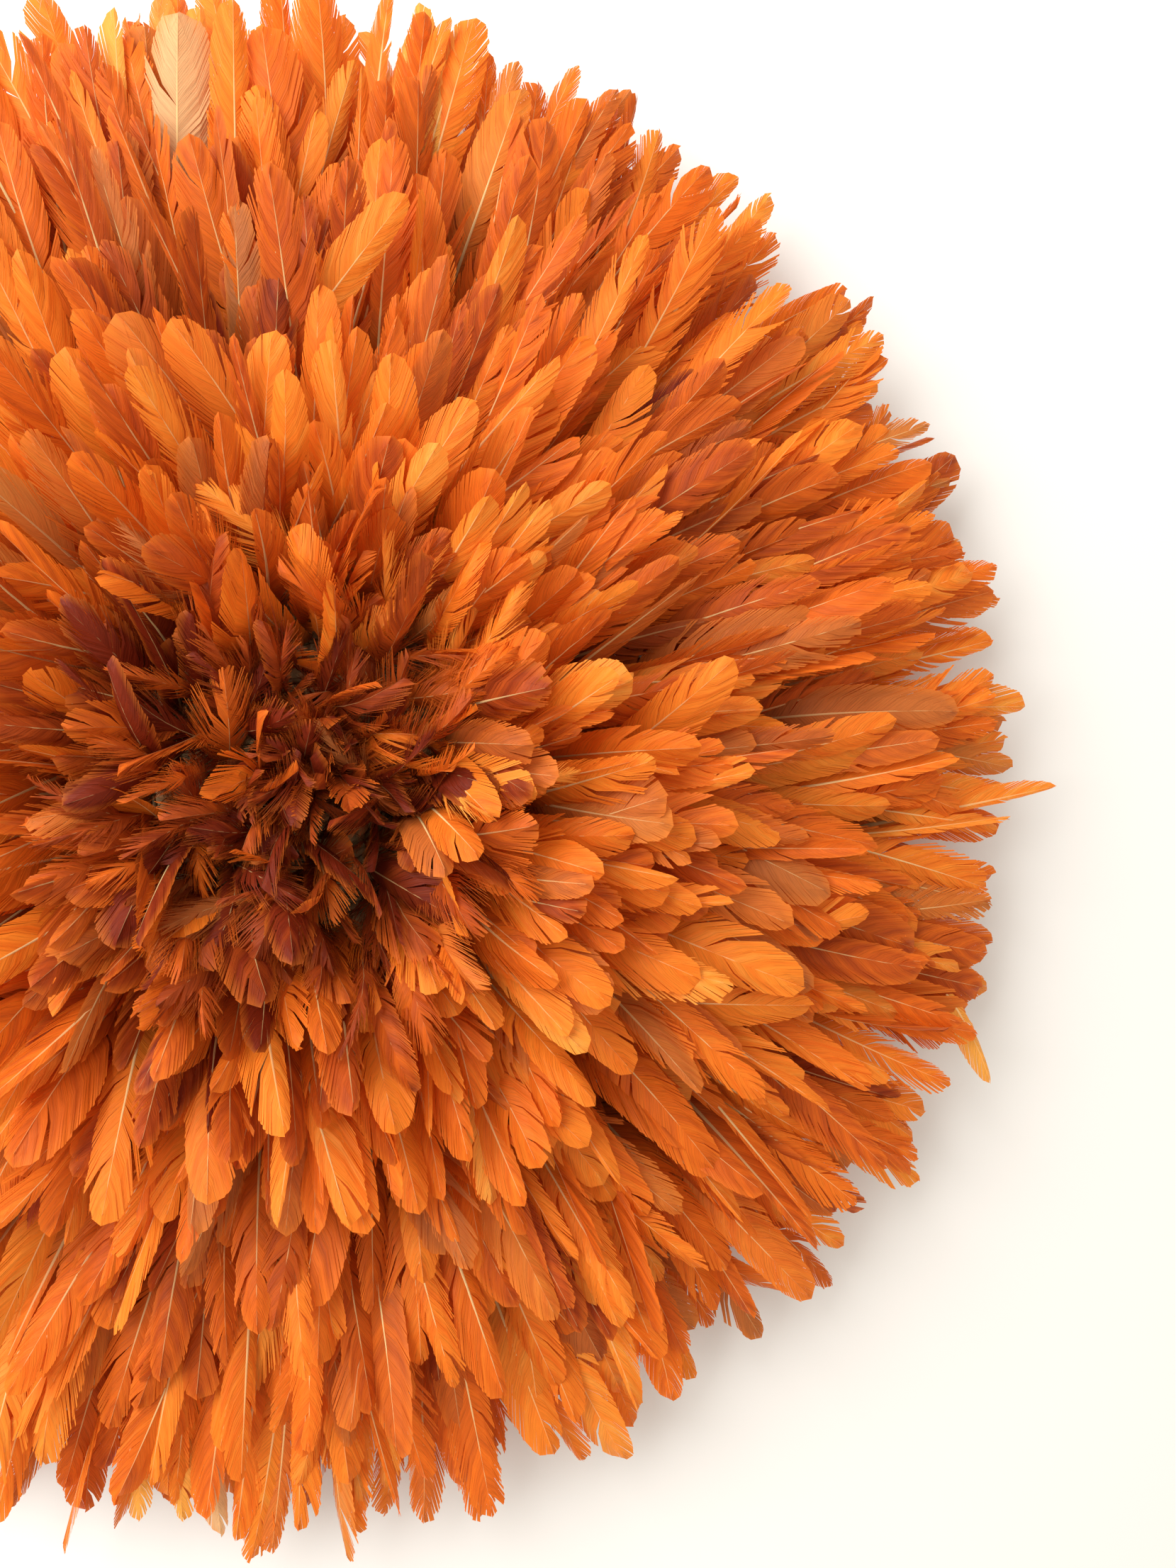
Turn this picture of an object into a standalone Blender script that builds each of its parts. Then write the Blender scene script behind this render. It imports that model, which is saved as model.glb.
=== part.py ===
"""A feathered headdress: a coiled raffia cap on a wound rim, with cane ribs that carry rings of feathers.

It lies on its rim with its feathers up. Metres, +Z up, origin at the middle of the rim's underside.
"""

import math
import random

import bmesh
import bpy
from mathutils import Vector

# Sizes of the cap that goes on the head.
HEAD_WIDTH = 0.190  # across the inside of the mouth
CAP_DEPTH = 0.086  # from the mouth up to the inside of the crown
CAP_WALL = 0.0035
CAP_SQUARENESS = 2.4  # 2 is an ellipse, and more is a fuller crown
COIL_COUNT = 10
COIL_RELIEF = 0.0012  # how deep the grooves between the coils are

# Sizes of the wound rim that the hat rests on.
RIM_WIDTH = 0.0155
RIM_HEIGHT = 0.010
RIM_FLAT_SHARE = 0.55  # how much of its width is flat underneath and on top

# Sizes of the cane ribs and of the cords that tie them.
RIB_COUNT = 24
RIB_LENGTH = 0.172
RIB_WIDTH = 0.0065  # at the cap, across the flats' corners
RIB_TAPER = 0.65  # the width at the far end, as a share of RIB_WIDTH
RIB_THICKNESS = 0.004
RIB_RISE_DEG = 5.0
CORD_DIAMETER = 0.0045
CORD_PLACES = (0.34, 0.90)  # shares of the rib's length

# Sizes of the feathers. A row's lengths are shares of FEATHER_LENGTH.
FEATHER_LENGTH = 0.160
FEATHER_DROOP_DEG = 12.0  # how far a feather bends down from its root to its tip
LOCK_THICKNESS = 0.0030
RACHIS_RIDGE = 0.0022  # how far the middle of a lock stands over its edges
FOOT_WIDTH = 0.0065  # the cord that a row's quills are tied to
BUD_HEIGHT = 0.058  # the upright feathers in the middle of the tuft
SHORTEST_LOCK = 0.86  # share of the row's length
TIP_SEED = 7

# Size of the loop that the hat hangs by.
LOOP_WIDTH = 0.024
LOOP_REACH = 0.026
LOOP_DIAMETER = 0.0036

CLEARANCE = 0.0003  # between pieces that rest on each other
CAP_SIDES = 32
RIM_SIDES = 32
CORD_TURN_SIDES = 24
CORD_SIDES = 6
LOOP_SIDES = 6
PROFILE_STEPS = 400

# One row of feathers per line: the coil of the cap that its cord is sewn along, or its place
# along the ribs, how steeply the feathers leave it, their length and their number.
ROWS = (
    # name, carrier, coil or share, elevation_deg, length, locks, dye
    ("feather_tuft", "cap", 0, 80.0, 0.46, 8, "dark"),
    ("feather_row_1", "cap", 2, 78.0, 0.48, 12, "dark"),
    ("feather_row_2", "cap", 4, 73.0, 0.54, 14, "dark"),
    ("feather_row_3", "cap", 6, 65.0, 0.68, 18, "rust"),
    ("feather_row_4", "cap", 8, 53.0, 0.87, 22, "orange"),
    ("feather_row_5", "rib", 0.10, 43.0, 1.00, 26, "orange"),
    ("feather_row_6", "rib", 0.36, 33.0, 1.00, 30, "orange"),
    ("feather_row_7", "rib", 0.62, 22.0, 0.97, 32, "orange"),
    ("feather_row_8", "rib", 0.88, 11.5, 0.90, 34, "orange"),
)

# Sections of one lock. At the first the locks part, and the rest stand free.
LOCK_SECTIONS = (
    # along, width, thickness, ridge
    (0.34, 1.00, 1.00, 0.60),
    (0.66, 0.92, 0.75, 1.00),
    (0.89, 0.70, 0.55, 0.70),
    (1.00, 0.24, 0.40, 0.20),
)

# Finishes: base colour, roughness.
RAFFIA = ((0.47, 0.31, 0.15), 0.85)
CANE = ((0.50, 0.33, 0.16), 0.60)
CORD = ((0.38, 0.25, 0.12), 0.90)
FEATHERS = {
    "dark": ((0.26, 0.055, 0.012), 0.65),
    "rust": ((0.52, 0.13, 0.018), 0.60),
    "orange": ((0.72, 0.21, 0.025), 0.60),
}


def clear_scene():
    for obj in list(bpy.data.objects):
        bpy.data.objects.remove(obj, do_unlink=True)


def material(name, finish):
    """A plain surface of that colour and roughness."""
    colour, roughness = finish
    made = bpy.data.materials.get(name) or bpy.data.materials.new(name)
    made.use_nodes = True
    made.diffuse_color = (*colour, 1.0)
    surface = made.node_tree.nodes["Principled BSDF"]
    surface.inputs["Base Color"].default_value = (*colour, 1.0)
    surface.inputs["Roughness"].default_value = roughness
    surface.inputs["Metallic"].default_value = 0.0
    return made


def add_object(name, bm, finish_name, finish, crease_deg=35.0):
    """The object NAME with bm's mesh, its faces pointing out, smooth apart from its creases."""
    bmesh.ops.recalc_face_normals(bm, faces=bm.faces)
    if bm.calc_volume(signed=True) < 0.0:
        bmesh.ops.reverse_faces(bm, faces=bm.faces)
    mesh = bpy.data.meshes.new(name)
    bm.to_mesh(mesh)
    bm.free()
    mesh.shade_smooth()
    mesh.set_sharp_from_angle(angle=math.radians(crease_deg))
    mesh.materials.append(material(finish_name, finish))
    obj = bpy.data.objects.new(name, mesh)
    bpy.context.scene.collection.objects.link(obj)
    return obj


def turned(profile, sides, closed):
    """A bmesh of a profile of (radius, height) points turned about Z."""
    bm = bmesh.new()
    points = [bm.verts.new((radius, 0.0, height)) for radius, height in profile]
    pairs = list(zip(points, points[1:]))
    if closed:
        pairs.append((points[-1], points[0]))
    edges = [bm.edges.new(pair) for pair in pairs]
    bmesh.ops.spin(
        bm,
        geom=points + edges,
        axis=(0.0, 0.0, 1.0),
        cent=(0.0, 0.0, 0.0),
        angle=math.tau,
        steps=sides,
        use_merge=True,
    )
    bmesh.ops.remove_doubles(bm, verts=bm.verts, dist=1e-6)
    return bm


def cap_base():
    """The height of the cap's lower edge, which rests on the rim."""
    return RIM_HEIGHT + CLEARANCE


def cap_point(angle, offset=0.0):
    """A point (radius, height) of the cap's inner dome moved out by offset, and the dome's normal there.

    The angle runs from 0 at the crown to a quarter turn at the mouth.
    """
    half = HEAD_WIDTH / 2
    power = 2.0 / CAP_SQUARENESS
    across = max(math.sin(angle), 0.0) ** power
    up = max(math.cos(angle), 0.0) ** power
    normal = Vector((across ** (CAP_SQUARENESS - 1) / half, up ** (CAP_SQUARENESS - 1) / CAP_DEPTH))
    normal.normalize()
    point = Vector((half * across, cap_base() + CAP_DEPTH * up)) + normal * offset
    return point, normal


def cap_walk(offset):
    """The dome's points at even steps of its parameter, with the distance walked from the crown."""
    steps = [math.pi / 2 * i / PROFILE_STEPS for i in range(PROFILE_STEPS + 1)]
    points = [cap_point(angle, offset)[0] for angle in steps]
    walked = [0.0]
    for a, b in zip(points, points[1:]):
        walked.append(walked[-1] + (b - a).length)
    return steps, walked


def cap_angle(share, offset=0.0):
    """The dome's parameter at that share of the way from the crown to the mouth."""
    steps, walked = cap_walk(offset)
    wanted = share * walked[-1]
    for i in range(PROFILE_STEPS):
        if walked[i + 1] >= wanted:
            part = (wanted - walked[i]) / max(walked[i + 1] - walked[i], 1e-12)
            return steps[i] + part * (steps[i + 1] - steps[i])
    return steps[-1]


def make_cap():
    """The cap: a dome with one ridge outside for each coil of raffia, open below."""
    profile = []
    for i in range(2 * COIL_COUNT + 1):
        groove = COIL_RELIEF if i % 2 == 0 and 0 < i < 2 * COIL_COUNT else 0.0
        point, _ = cap_point(cap_angle(i / (2 * COIL_COUNT), CAP_WALL), CAP_WALL - groove)
        profile.append((0.0 if i == 0 else point.x, point.y))
    inside = COIL_COUNT // 2
    for i in range(inside, -1, -1):
        point, _ = cap_point(cap_angle(i / inside))
        profile.append((0.0 if i == 0 else point.x, point.y))
    return add_object("raffia_cap", turned(profile, CAP_SIDES, False), "raffia", RAFFIA)


def rim_middle():
    """The rim's middle radius: it lies under the cap's wall and carries the ribs outside it."""
    return HEAD_WIDTH / 2 + RIM_WIDTH / 2 - CAP_WALL / 4


def make_rim():
    """The wound roll round the mouth, flat where it rests and where the cap and the ribs stand on it."""
    middle, half = rim_middle(), RIM_WIDTH / 2
    flat = half * RIM_FLAT_SHARE
    profile = (
        (middle - flat, 0.0),
        (middle + flat, 0.0),
        (middle + half, RIM_HEIGHT * 0.3),
        (middle + half, RIM_HEIGHT * 0.7),
        (middle + flat, RIM_HEIGHT),
        (middle - flat, RIM_HEIGHT),
        (middle - half, RIM_HEIGHT * 0.7),
        (middle - half, RIM_HEIGHT * 0.3),
    )
    return add_object("cap_rim", turned(profile, RIM_SIDES, True), "raffia_wrap", CORD, 50.0)


def rib_start():
    """The near end of a rib's underside: on the rim, a clearance away from the cap's wall."""
    lean = RIB_THICKNESS * math.sin(math.radians(RIB_RISE_DEG))
    radius = HEAD_WIDTH / 2 + CAP_WALL + CLEARANCE + lean
    return Vector((radius, RIM_HEIGHT + CLEARANCE))


def rib_point(share, height):
    """A point (radius, height) that far along the ribs and that far over their underside, and their normal."""
    rise = math.radians(RIB_RISE_DEG)
    along = Vector((math.cos(rise), math.sin(rise)))
    normal = Vector((-along.y, along.x))
    return rib_start() + along * (share * RIB_LENGTH) + normal * height, normal


def make_ribs():
    """The cane ribs, six-sided and narrower at the far end, spaced evenly round the cap."""
    start = rib_start()
    for i in range(RIB_COUNT):
        bm = bmesh.new()
        bmesh.ops.create_cone(
            bm,
            cap_ends=True,
            segments=6,
            radius1=RIB_WIDTH / 2,
            radius2=RIB_WIDTH / 2 * RIB_TAPER,
            depth=RIB_LENGTH,
        )
        for vert in bm.verts:
            side, across, along = vert.co
            near = along < 0.0
            flats = math.cos(math.pi / 6) * RIB_WIDTH / 2 * (1.0 if near else RIB_TAPER)
            up = side / flats * RIB_THICKNESS / 2
            vert.co = (along + RIB_LENGTH / 2, across, up + RIB_THICKNESS / 2)
        rib = add_object(f"rib_{i + 1:02d}", bm, "cane", CANE)
        turn = math.tau * (i + 0.5) / RIB_COUNT
        rib.location = (start.x * math.cos(turn), start.x * math.sin(turn), start.y)
        rib.rotation_euler = (0.0, -math.radians(RIB_RISE_DEG), turn)


def make_rib_cords():
    """The cords that tie the ribs together underneath."""
    for number, place in enumerate(CORD_PLACES, 1):
        slack = CLEARANCE + CORD_DIAMETER / 2
        middle, _ = rib_point(place, -slack)
        profile = []
        for i in range(CORD_SIDES):
            turn = math.tau * i / CORD_SIDES
            radius = middle.x + CORD_DIAMETER / 2 * math.cos(turn)
            height = middle.y + CORD_DIAMETER / 2 * math.sin(turn)
            profile.append((radius, height))
        add_object(f"rib_cord_{number}", turned(profile, CORD_TURN_SIDES, True), "twine", CORD, 70.0)


def row_seat(carrier, place):
    """Where a row's cord lies: a point (radius, height) a clearance over its carrier, and the normal."""
    if carrier == "cap":
        crest = (place + 0.5) / COIL_COUNT
        return cap_point(cap_angle(crest, CAP_WALL), CAP_WALL + CLEARANCE)
    return rib_point(place, RIB_THICKNESS + CLEARANCE)


def row_line(seat, normal, elevation_deg, length, share):
    """A point (radius, height) of a feather's middle line, and the line's own normal there."""
    steps = 12
    point = seat + normal * (FOOT_WIDTH / 4)
    for i in range(steps):
        turned_by = FEATHER_DROOP_DEG * share * (i + 0.5) / steps
        angle = math.radians(elevation_deg - turned_by)
        point = point + Vector((math.cos(angle), math.sin(angle))) * (length * share / steps)
    angle = math.radians(elevation_deg - FEATHER_DROOP_DEG * share)
    return point, Vector((-math.sin(angle), math.cos(angle)))


def on_circle(point, turn):
    return Vector((point.x * math.cos(turn), point.x * math.sin(turn), point.y))


def lock_side(point, turn, half_pitch, width, side):
    """A point of a free lock's edge, in the flat plane across that lock."""
    inward = point.x * (1.0 - (1.0 - math.cos(half_pitch)) * width)
    across = point.x * math.sin(half_pitch) * width * side
    return Vector(
        (
            inward * math.cos(turn) - across * math.sin(turn),
            inward * math.sin(turn) + across * math.cos(turn),
            point.y,
        )
    )


def lock_lengths(locks, seed):
    """Each lock's length as a share of the row's, the same on opposite sides."""
    chance = random.Random(seed)
    half = [chance.uniform(SHORTEST_LOCK, 1.0) for _ in range(locks // 2)]
    half[0] = 1.0
    return half * 2


def make_row(row, seed):
    """One row: a ring of quills on its cord, which parts into free locks with a ridge down the middle."""
    name, carrier, place, elevation_deg, length_share, locks, dye = row
    seat, normal = row_seat(carrier, place)
    tangent = Vector((normal.y, -normal.x))
    half_pitch = math.pi / locks
    stretch = 1.0 / math.cos(half_pitch / 2)
    reaches = lock_lengths(locks, seed)
    length = length_share * FEATHER_LENGTH
    bm = bmesh.new()

    def outward(point):
        return Vector((point.x * stretch, point.y))

    def ring(point):
        return [bm.verts.new(on_circle(outward(point), half_pitch * i)) for i in range(2 * locks)]

    def section(share, thickness, ridge):
        point, up = row_line(seat, normal, elevation_deg, length, share)
        edge = point + up * (LOCK_THICKNESS * thickness / 2)
        under = point - up * (LOCK_THICKNESS * thickness / 2)
        return edge, edge + up * (RACHIS_RIDGE * ridge), under

    has_bud = name == "feather_tuft"
    lift = Vector((0.0, LOCK_THICKNESS if has_bud else 0.0))
    foot_top = ring(seat - tangent * (FOOT_WIDTH / 2) + lift)
    foot_under = ring(seat + tangent * (FOOT_WIDTH / 2))
    notch, _, thickness, ridge = LOCK_SECTIONS[0]
    edge, middle, under = section(notch, thickness, ridge)
    tops, unders = [], []
    for i in range(2 * locks):
        at = middle if i % 2 == 0 else edge
        tops.append(bm.verts.new(on_circle(outward(at), half_pitch * i)))
        unders.append(bm.verts.new(on_circle(outward(under), half_pitch * i)) if i % 2 else None)

    if has_bud:
        crown = cap_point(0.0, CAP_WALL + CLEARANCE)[0].y
        below = bm.verts.new((0.0, 0.0, crown))
        peak = bm.verts.new((0.0, 0.0, crown + BUD_HEIGHT))
    for i in range(2 * locks):
        after = (i + 1) % (2 * locks)
        bm.faces.new((foot_top[i], foot_top[after], tops[after], tops[i]))
        if has_bud:
            bm.faces.new((foot_under[i], foot_under[after], below))
            bm.faces.new((foot_top[i], foot_top[after], peak))
        else:
            bm.faces.new((foot_top[i], foot_top[after], foot_under[after], foot_under[i]))

    for lock in range(locks):
        turn = 2 * half_pitch * lock
        at = 2 * lock
        left, right = (at - 1) % (2 * locks), at + 1
        bm.faces.new(
            (foot_under[left], foot_under[at], foot_under[right], unders[right], unders[left])
        )
        before = (tops[left], tops[at], tops[right], unders[left], unders[right])
        for share, width, thickness, ridge in LOCK_SECTIONS[1:]:
            part = (share - notch) / (1.0 - notch)
            reach = notch + (reaches[lock] - notch) * part
            edge, middle, under = section(reach, thickness, ridge)
            edge, middle, under = outward(edge), outward(middle), outward(under)
            now = (
                bm.verts.new(lock_side(edge, turn, half_pitch, width, -1)),
                bm.verts.new(on_circle(middle, turn)),
                bm.verts.new(lock_side(edge, turn, half_pitch, width, 1)),
                bm.verts.new(lock_side(under, turn, half_pitch, width, -1)),
                bm.verts.new(lock_side(under, turn, half_pitch, width, 1)),
            )
            bm.faces.new((before[0], before[1], now[1], now[0]))
            bm.faces.new((before[1], before[2], now[2], now[1]))
            bm.faces.new((before[3], before[4], now[4], now[3]))
            bm.faces.new((before[0], now[0], now[3], before[3]))
            bm.faces.new((before[2], now[2], now[4], before[4]))
            before = now
        bm.faces.new((before[0], before[1], before[2], before[4], before[3]))
    return add_object(name, bm, f"feather_{dye}", FEATHERS[dye], 30.0)


def make_hanging_loop():
    """The plain loop of twine at the rim that a nail or hook goes through."""
    height = RIM_HEIGHT / 2
    half = LOOP_WIDTH / 2
    inset = (half - LOOP_DIAMETER / 2) * math.tan(math.pi / RIM_SIDES)
    near = rim_middle() + RIM_WIDTH / 2 - inset + CLEARANCE
    leg = max(LOOP_REACH - half, half / 2)
    route = [Vector((-half, near, height)), Vector((-half, near + leg, height))]
    turns = 8
    for i in range(1, turns):
        turn = math.pi * (1 - i / turns)
        route.append(
            Vector((half * math.cos(turn), near + leg + half * math.sin(turn), height))
        )
    route += [Vector((half, near + leg, height)), Vector((half, near, height))]
    bm = bmesh.new()
    rings = []
    for i, point in enumerate(route):
        ahead = route[min(i + 1, len(route) - 1)] - route[max(i - 1, 0)]
        if i in (0, len(route) - 1):
            ahead = Vector((0.0, 1.0 if i == 0 else -1.0, 0.0))
        ahead.normalize()
        side = ahead.cross(Vector((0.0, 0.0, 1.0)))
        ring = []
        for k in range(LOOP_SIDES):
            turn = math.tau * (k + 0.5) / LOOP_SIDES
            offset = side * math.cos(turn) + Vector((0.0, 0.0, math.sin(turn)))
            ring.append(bm.verts.new(point + offset * (LOOP_DIAMETER / 2)))
        rings.append(ring)
    for a, b in zip(rings, rings[1:]):
        for k in range(LOOP_SIDES):
            bm.faces.new((a[k], a[k - 1], b[k - 1], b[k]))
    bm.faces.new(rings[0])
    bm.faces.new(rings[-1])
    return add_object("hanging_loop", bm, "twine", CORD, 70.0)


def main():
    clear_scene()
    make_rim()
    make_cap()
    make_ribs()
    make_rib_cords()
    for number, row in enumerate(ROWS):
        make_row(row, TIP_SEED + number)
    make_hanging_loop()


main()
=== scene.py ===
"""Dresses the feathered headdress: feathers with shafts and barbs, the coiled raffia basket under them,
a pale floor, soft light and the camera. Metres, +Z up, in the frame of the CAD model.
"""

import math
from typing import NamedTuple

import bpy
import numpy as np
from bpy.props import FloatProperty, FloatVectorProperty, IntProperty, PointerProperty
from bpy.types import Operator, Panel, PropertyGroup
from bpy.utils import register_class, unregister_class
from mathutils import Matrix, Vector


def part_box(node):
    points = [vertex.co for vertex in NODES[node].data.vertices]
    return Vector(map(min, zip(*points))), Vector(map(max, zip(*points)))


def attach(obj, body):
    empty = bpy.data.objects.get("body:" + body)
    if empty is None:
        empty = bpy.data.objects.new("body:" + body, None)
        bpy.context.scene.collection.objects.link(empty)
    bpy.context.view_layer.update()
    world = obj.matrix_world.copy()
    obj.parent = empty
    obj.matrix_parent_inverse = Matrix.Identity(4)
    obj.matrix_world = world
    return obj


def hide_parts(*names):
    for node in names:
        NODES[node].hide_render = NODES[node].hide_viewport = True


bl_info = {
    "name": "Feathered Headdress",
    "version": (1, 0, 0),
    "blender": (4, 5, 0),
    "location": "3D View > Sidebar > Headdress",
    "description": "Builds the feathers, the raffia basket and the stage of a feathered headdress",
    "category": "Add Mesh",
}

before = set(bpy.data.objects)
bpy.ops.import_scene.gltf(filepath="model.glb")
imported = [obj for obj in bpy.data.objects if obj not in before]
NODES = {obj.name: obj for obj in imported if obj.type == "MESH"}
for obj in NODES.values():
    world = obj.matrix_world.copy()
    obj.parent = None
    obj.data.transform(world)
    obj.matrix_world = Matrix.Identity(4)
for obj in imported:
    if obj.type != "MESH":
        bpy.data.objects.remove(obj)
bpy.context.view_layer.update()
BODY = "root"

ROW_NODES = ("feather_tuft",) + tuple(f"feather_row_{i}" for i in range(1, 9))

# The photograph's frame, in pixels.
PHOTO_WIDTH = 1659
PHOTO_HEIGHT = 2212


class Kind(NamedTuple):
    """A kind of feather. Lengths are shares of its own length or half breadth."""

    breadth: float  # metres across both vanes
    uneven: float  # how much narrower one vane is
    widest: float  # how far along it is widest
    bluntness: float  # 2 is a round tip, and more is a squarer one
    bare: float  # the quill below the vanes
    base_angle: float  # degrees between the shaft and the lowest barbs
    tip_angle: float
    camber: float  # how far the vanes curve down
    curl: float  # degrees that the tip may curl over by
    taper: float  # breadth of a lock of barbs at its end, as a share of that at its root
    fray: float  # how uneven the barbs' ends are
    loose: float  # degrees that the barbs stray by
    splits: int  # how often a vane may part
    gap: float  # degrees that it parts by
    shaft: float  # metres across the quill
    locks: int  # bundles of barbs on each side


KINDS = {
    "wisp": Kind(0.016, 0.10, 0.60, 1.7, 0.28, 34, 9, 0.85, 85, 0.35, 0.45, 11.0, 5, 18.0, 0.0007, 36),
    "plume": Kind(0.025, 0.10, 0.68, 2.0, 0.28, 42, 14, 0.80, 75, 0.40, 0.28, 7.0, 5, 15.0, 0.0009, 46),
    "curled": Kind(0.022, 0.12, 0.72, 2.2, 0.36, 44, 18, 0.80, 95, 0.90, 0.10, 2.6, 3, 10.0, 0.0009, 30),
    "petal": Kind(0.023, 0.12, 0.70, 2.3, 0.20, 44, 18, 0.75, 45, 0.95, 0.08, 2.2, 3, 9.0, 0.0012, 31),
    "paddle": Kind(0.027, 0.15, 0.66, 2.6, 0.10, 48, 22, 0.50, 22, 0.98, 0.04, 1.4, 3, 9.0, 0.0020, 31),
    "cover": Kind(0.0230, 0.18, 0.64, 2.4, 0.12, 42, 19, 0.45, 17, 0.98, 0.05, 1.4, 4, 10.0, 0.0022, 32),
    "wing": Kind(0.0195, 0.42, 0.58, 2.5, 0.15, 37, 15, 0.40, 14, 0.98, 0.05, 1.2, 4, 10.0, 0.0027, 34),
    "blade": Kind(0.0135, 0.60, 0.60, 1.9, 0.15, 32, 13, 0.35, 12, 0.97, 0.05, 1.2, 3, 10.0, 0.0026, 28),
    "ragged": Kind(0.0225, 0.22, 0.66, 2.3, 0.12, 42, 18, 0.40, 16, 0.80, 0.15, 2.8, 6, 13.0, 0.0020, 33),
}


class Ring(NamedTuple):
    """A ring of feathers. Rows count outwards from the tuft, and a ring may stand between two rows."""

    row: float
    spacing: float  # metres between tips
    shortest: float  # share of the row's length
    longest: float
    bow: float  # degrees that a feather bends by from root to tip
    lift: float  # degrees that its slope strays by
    heading: float  # degrees that its direction strays by
    roll: float  # degrees that it leans over by
    veer: float  # degrees that it may turn away from its bearing by
    kinds: tuple
    dullest: float  # dye, from 0 for dark red-brown to 1 for bright orange
    brightest: float
    darkness: float = 1.0  # above 1, most of the ring's feathers are dull ones


CROWN_KINDS = ("plume", "wisp", "curled", "wisp", "plume")
COLLAR_KINDS = ("plume", "petal", "curled", "paddle", "wisp")
LONG_KINDS = ("wing", "cover", "blade", "paddle", "wing")
OUTER_KINDS = ("cover", "wing", "paddle", "ragged", "cover", "ragged", "blade")
EDGE_KINDS = ("ragged", "cover", "paddle", "ragged", "wing")

CROWN_RINGS = (
    Ring(-0.75, 0.010, 0.60, 0.95, 30, 30, 50, 100, 360, CROWN_KINDS, 0.00, 0.72, 2.3),
    Ring(-0.40, 0.009, 0.65, 1.00, 35, 30, 50, 95, 280, CROWN_KINDS, 0.00, 0.74, 2.3),
    Ring(0.00, 0.010, 0.70, 1.05, 45, 30, 50, 90, 230, CROWN_KINDS, 0.00, 0.74, 2.3),
    Ring(0.35, 0.010, 0.72, 1.12, 50, 28, 50, 90, 190, CROWN_KINDS, 0.00, 0.74, 2.3),
    Ring(0.70, 0.011, 0.75, 1.20, 55, 26, 48, 85, 160, CROWN_KINDS, 0.00, 0.72, 2.2),
    Ring(1.05, 0.011, 0.75, 1.22, 58, 24, 46, 80, 130, CROWN_KINDS, 0.00, 0.74, 2.0),
    Ring(1.40, 0.012, 0.75, 1.22, 60, 22, 42, 70, 100, COLLAR_KINDS, 0.02, 0.78, 1.7),
    Ring(1.75, 0.013, 0.75, 1.22, 60, 19, 38, 62, 75, COLLAR_KINDS, 0.08, 0.86, 1.4),
    Ring(2.10, 0.013, 0.75, 1.18, 58, 17, 34, 56, 50, COLLAR_KINDS, 0.20, 0.96, 1.1),
    Ring(2.45, 0.014, 0.75, 1.15, 56, 15, 30, 50, 32, COLLAR_KINDS, 0.30, 1.00),
)
LONG_RINGS = (
    Ring(2.75, 0.015, 0.80, 1.10, 52, 13, 26, 42, 18, LONG_KINDS, 0.36, 1.02),
    Ring(3.20, 0.016, 0.78, 1.12, 46, 12, 24, 38, 10, LONG_KINDS, 0.42, 1.06),
    Ring(3.70, 0.016, 0.78, 1.12, 40, 11, 22, 36, 6, LONG_KINDS, 0.44, 1.08),
    Ring(4.20, 0.016, 0.78, 1.10, 36, 10, 21, 34, 4, LONG_KINDS, 0.44, 1.08),
)
OUTER_RINGS = (
    Ring(4.70, 0.0148, 0.78, 1.12, 32, 9, 21, 33, 0, OUTER_KINDS, 0.44, 1.06),
    Ring(5.20, 0.0148, 0.78, 1.12, 30, 9, 21, 32, 0, OUTER_KINDS, 0.44, 1.06),
    Ring(5.70, 0.0148, 0.78, 1.12, 28, 9, 21, 32, 0, OUTER_KINDS, 0.44, 1.06),
    Ring(6.20, 0.0148, 0.78, 1.12, 27, 8, 20, 32, 0, OUTER_KINDS, 0.44, 1.06),
    Ring(6.70, 0.0148, 0.80, 1.12, 25, 8, 19, 32, 0, OUTER_KINDS, 0.44, 1.06),
    Ring(7.20, 0.0148, 0.82, 1.12, 23, 7, 18, 32, 0, OUTER_KINDS, 0.46, 1.06),
)
EDGE_RINGS = (
    Ring(7.60, 0.015, 0.88, 1.12, 20, 6, 17, 31, 0, EDGE_KINDS, 0.50, 1.08),
    Ring(8.00, 0.014, 0.92, 1.12, 17, 6, 16, 31, 0, EDGE_KINDS, 0.55, 1.14),
)


class Patch(NamedTuple):
    """Where the headdress is darker, brighter, shorter or longer, round a pixel of the frame."""

    x: float
    y: float
    reach: float  # pixels
    dye: float
    length: float


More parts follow.
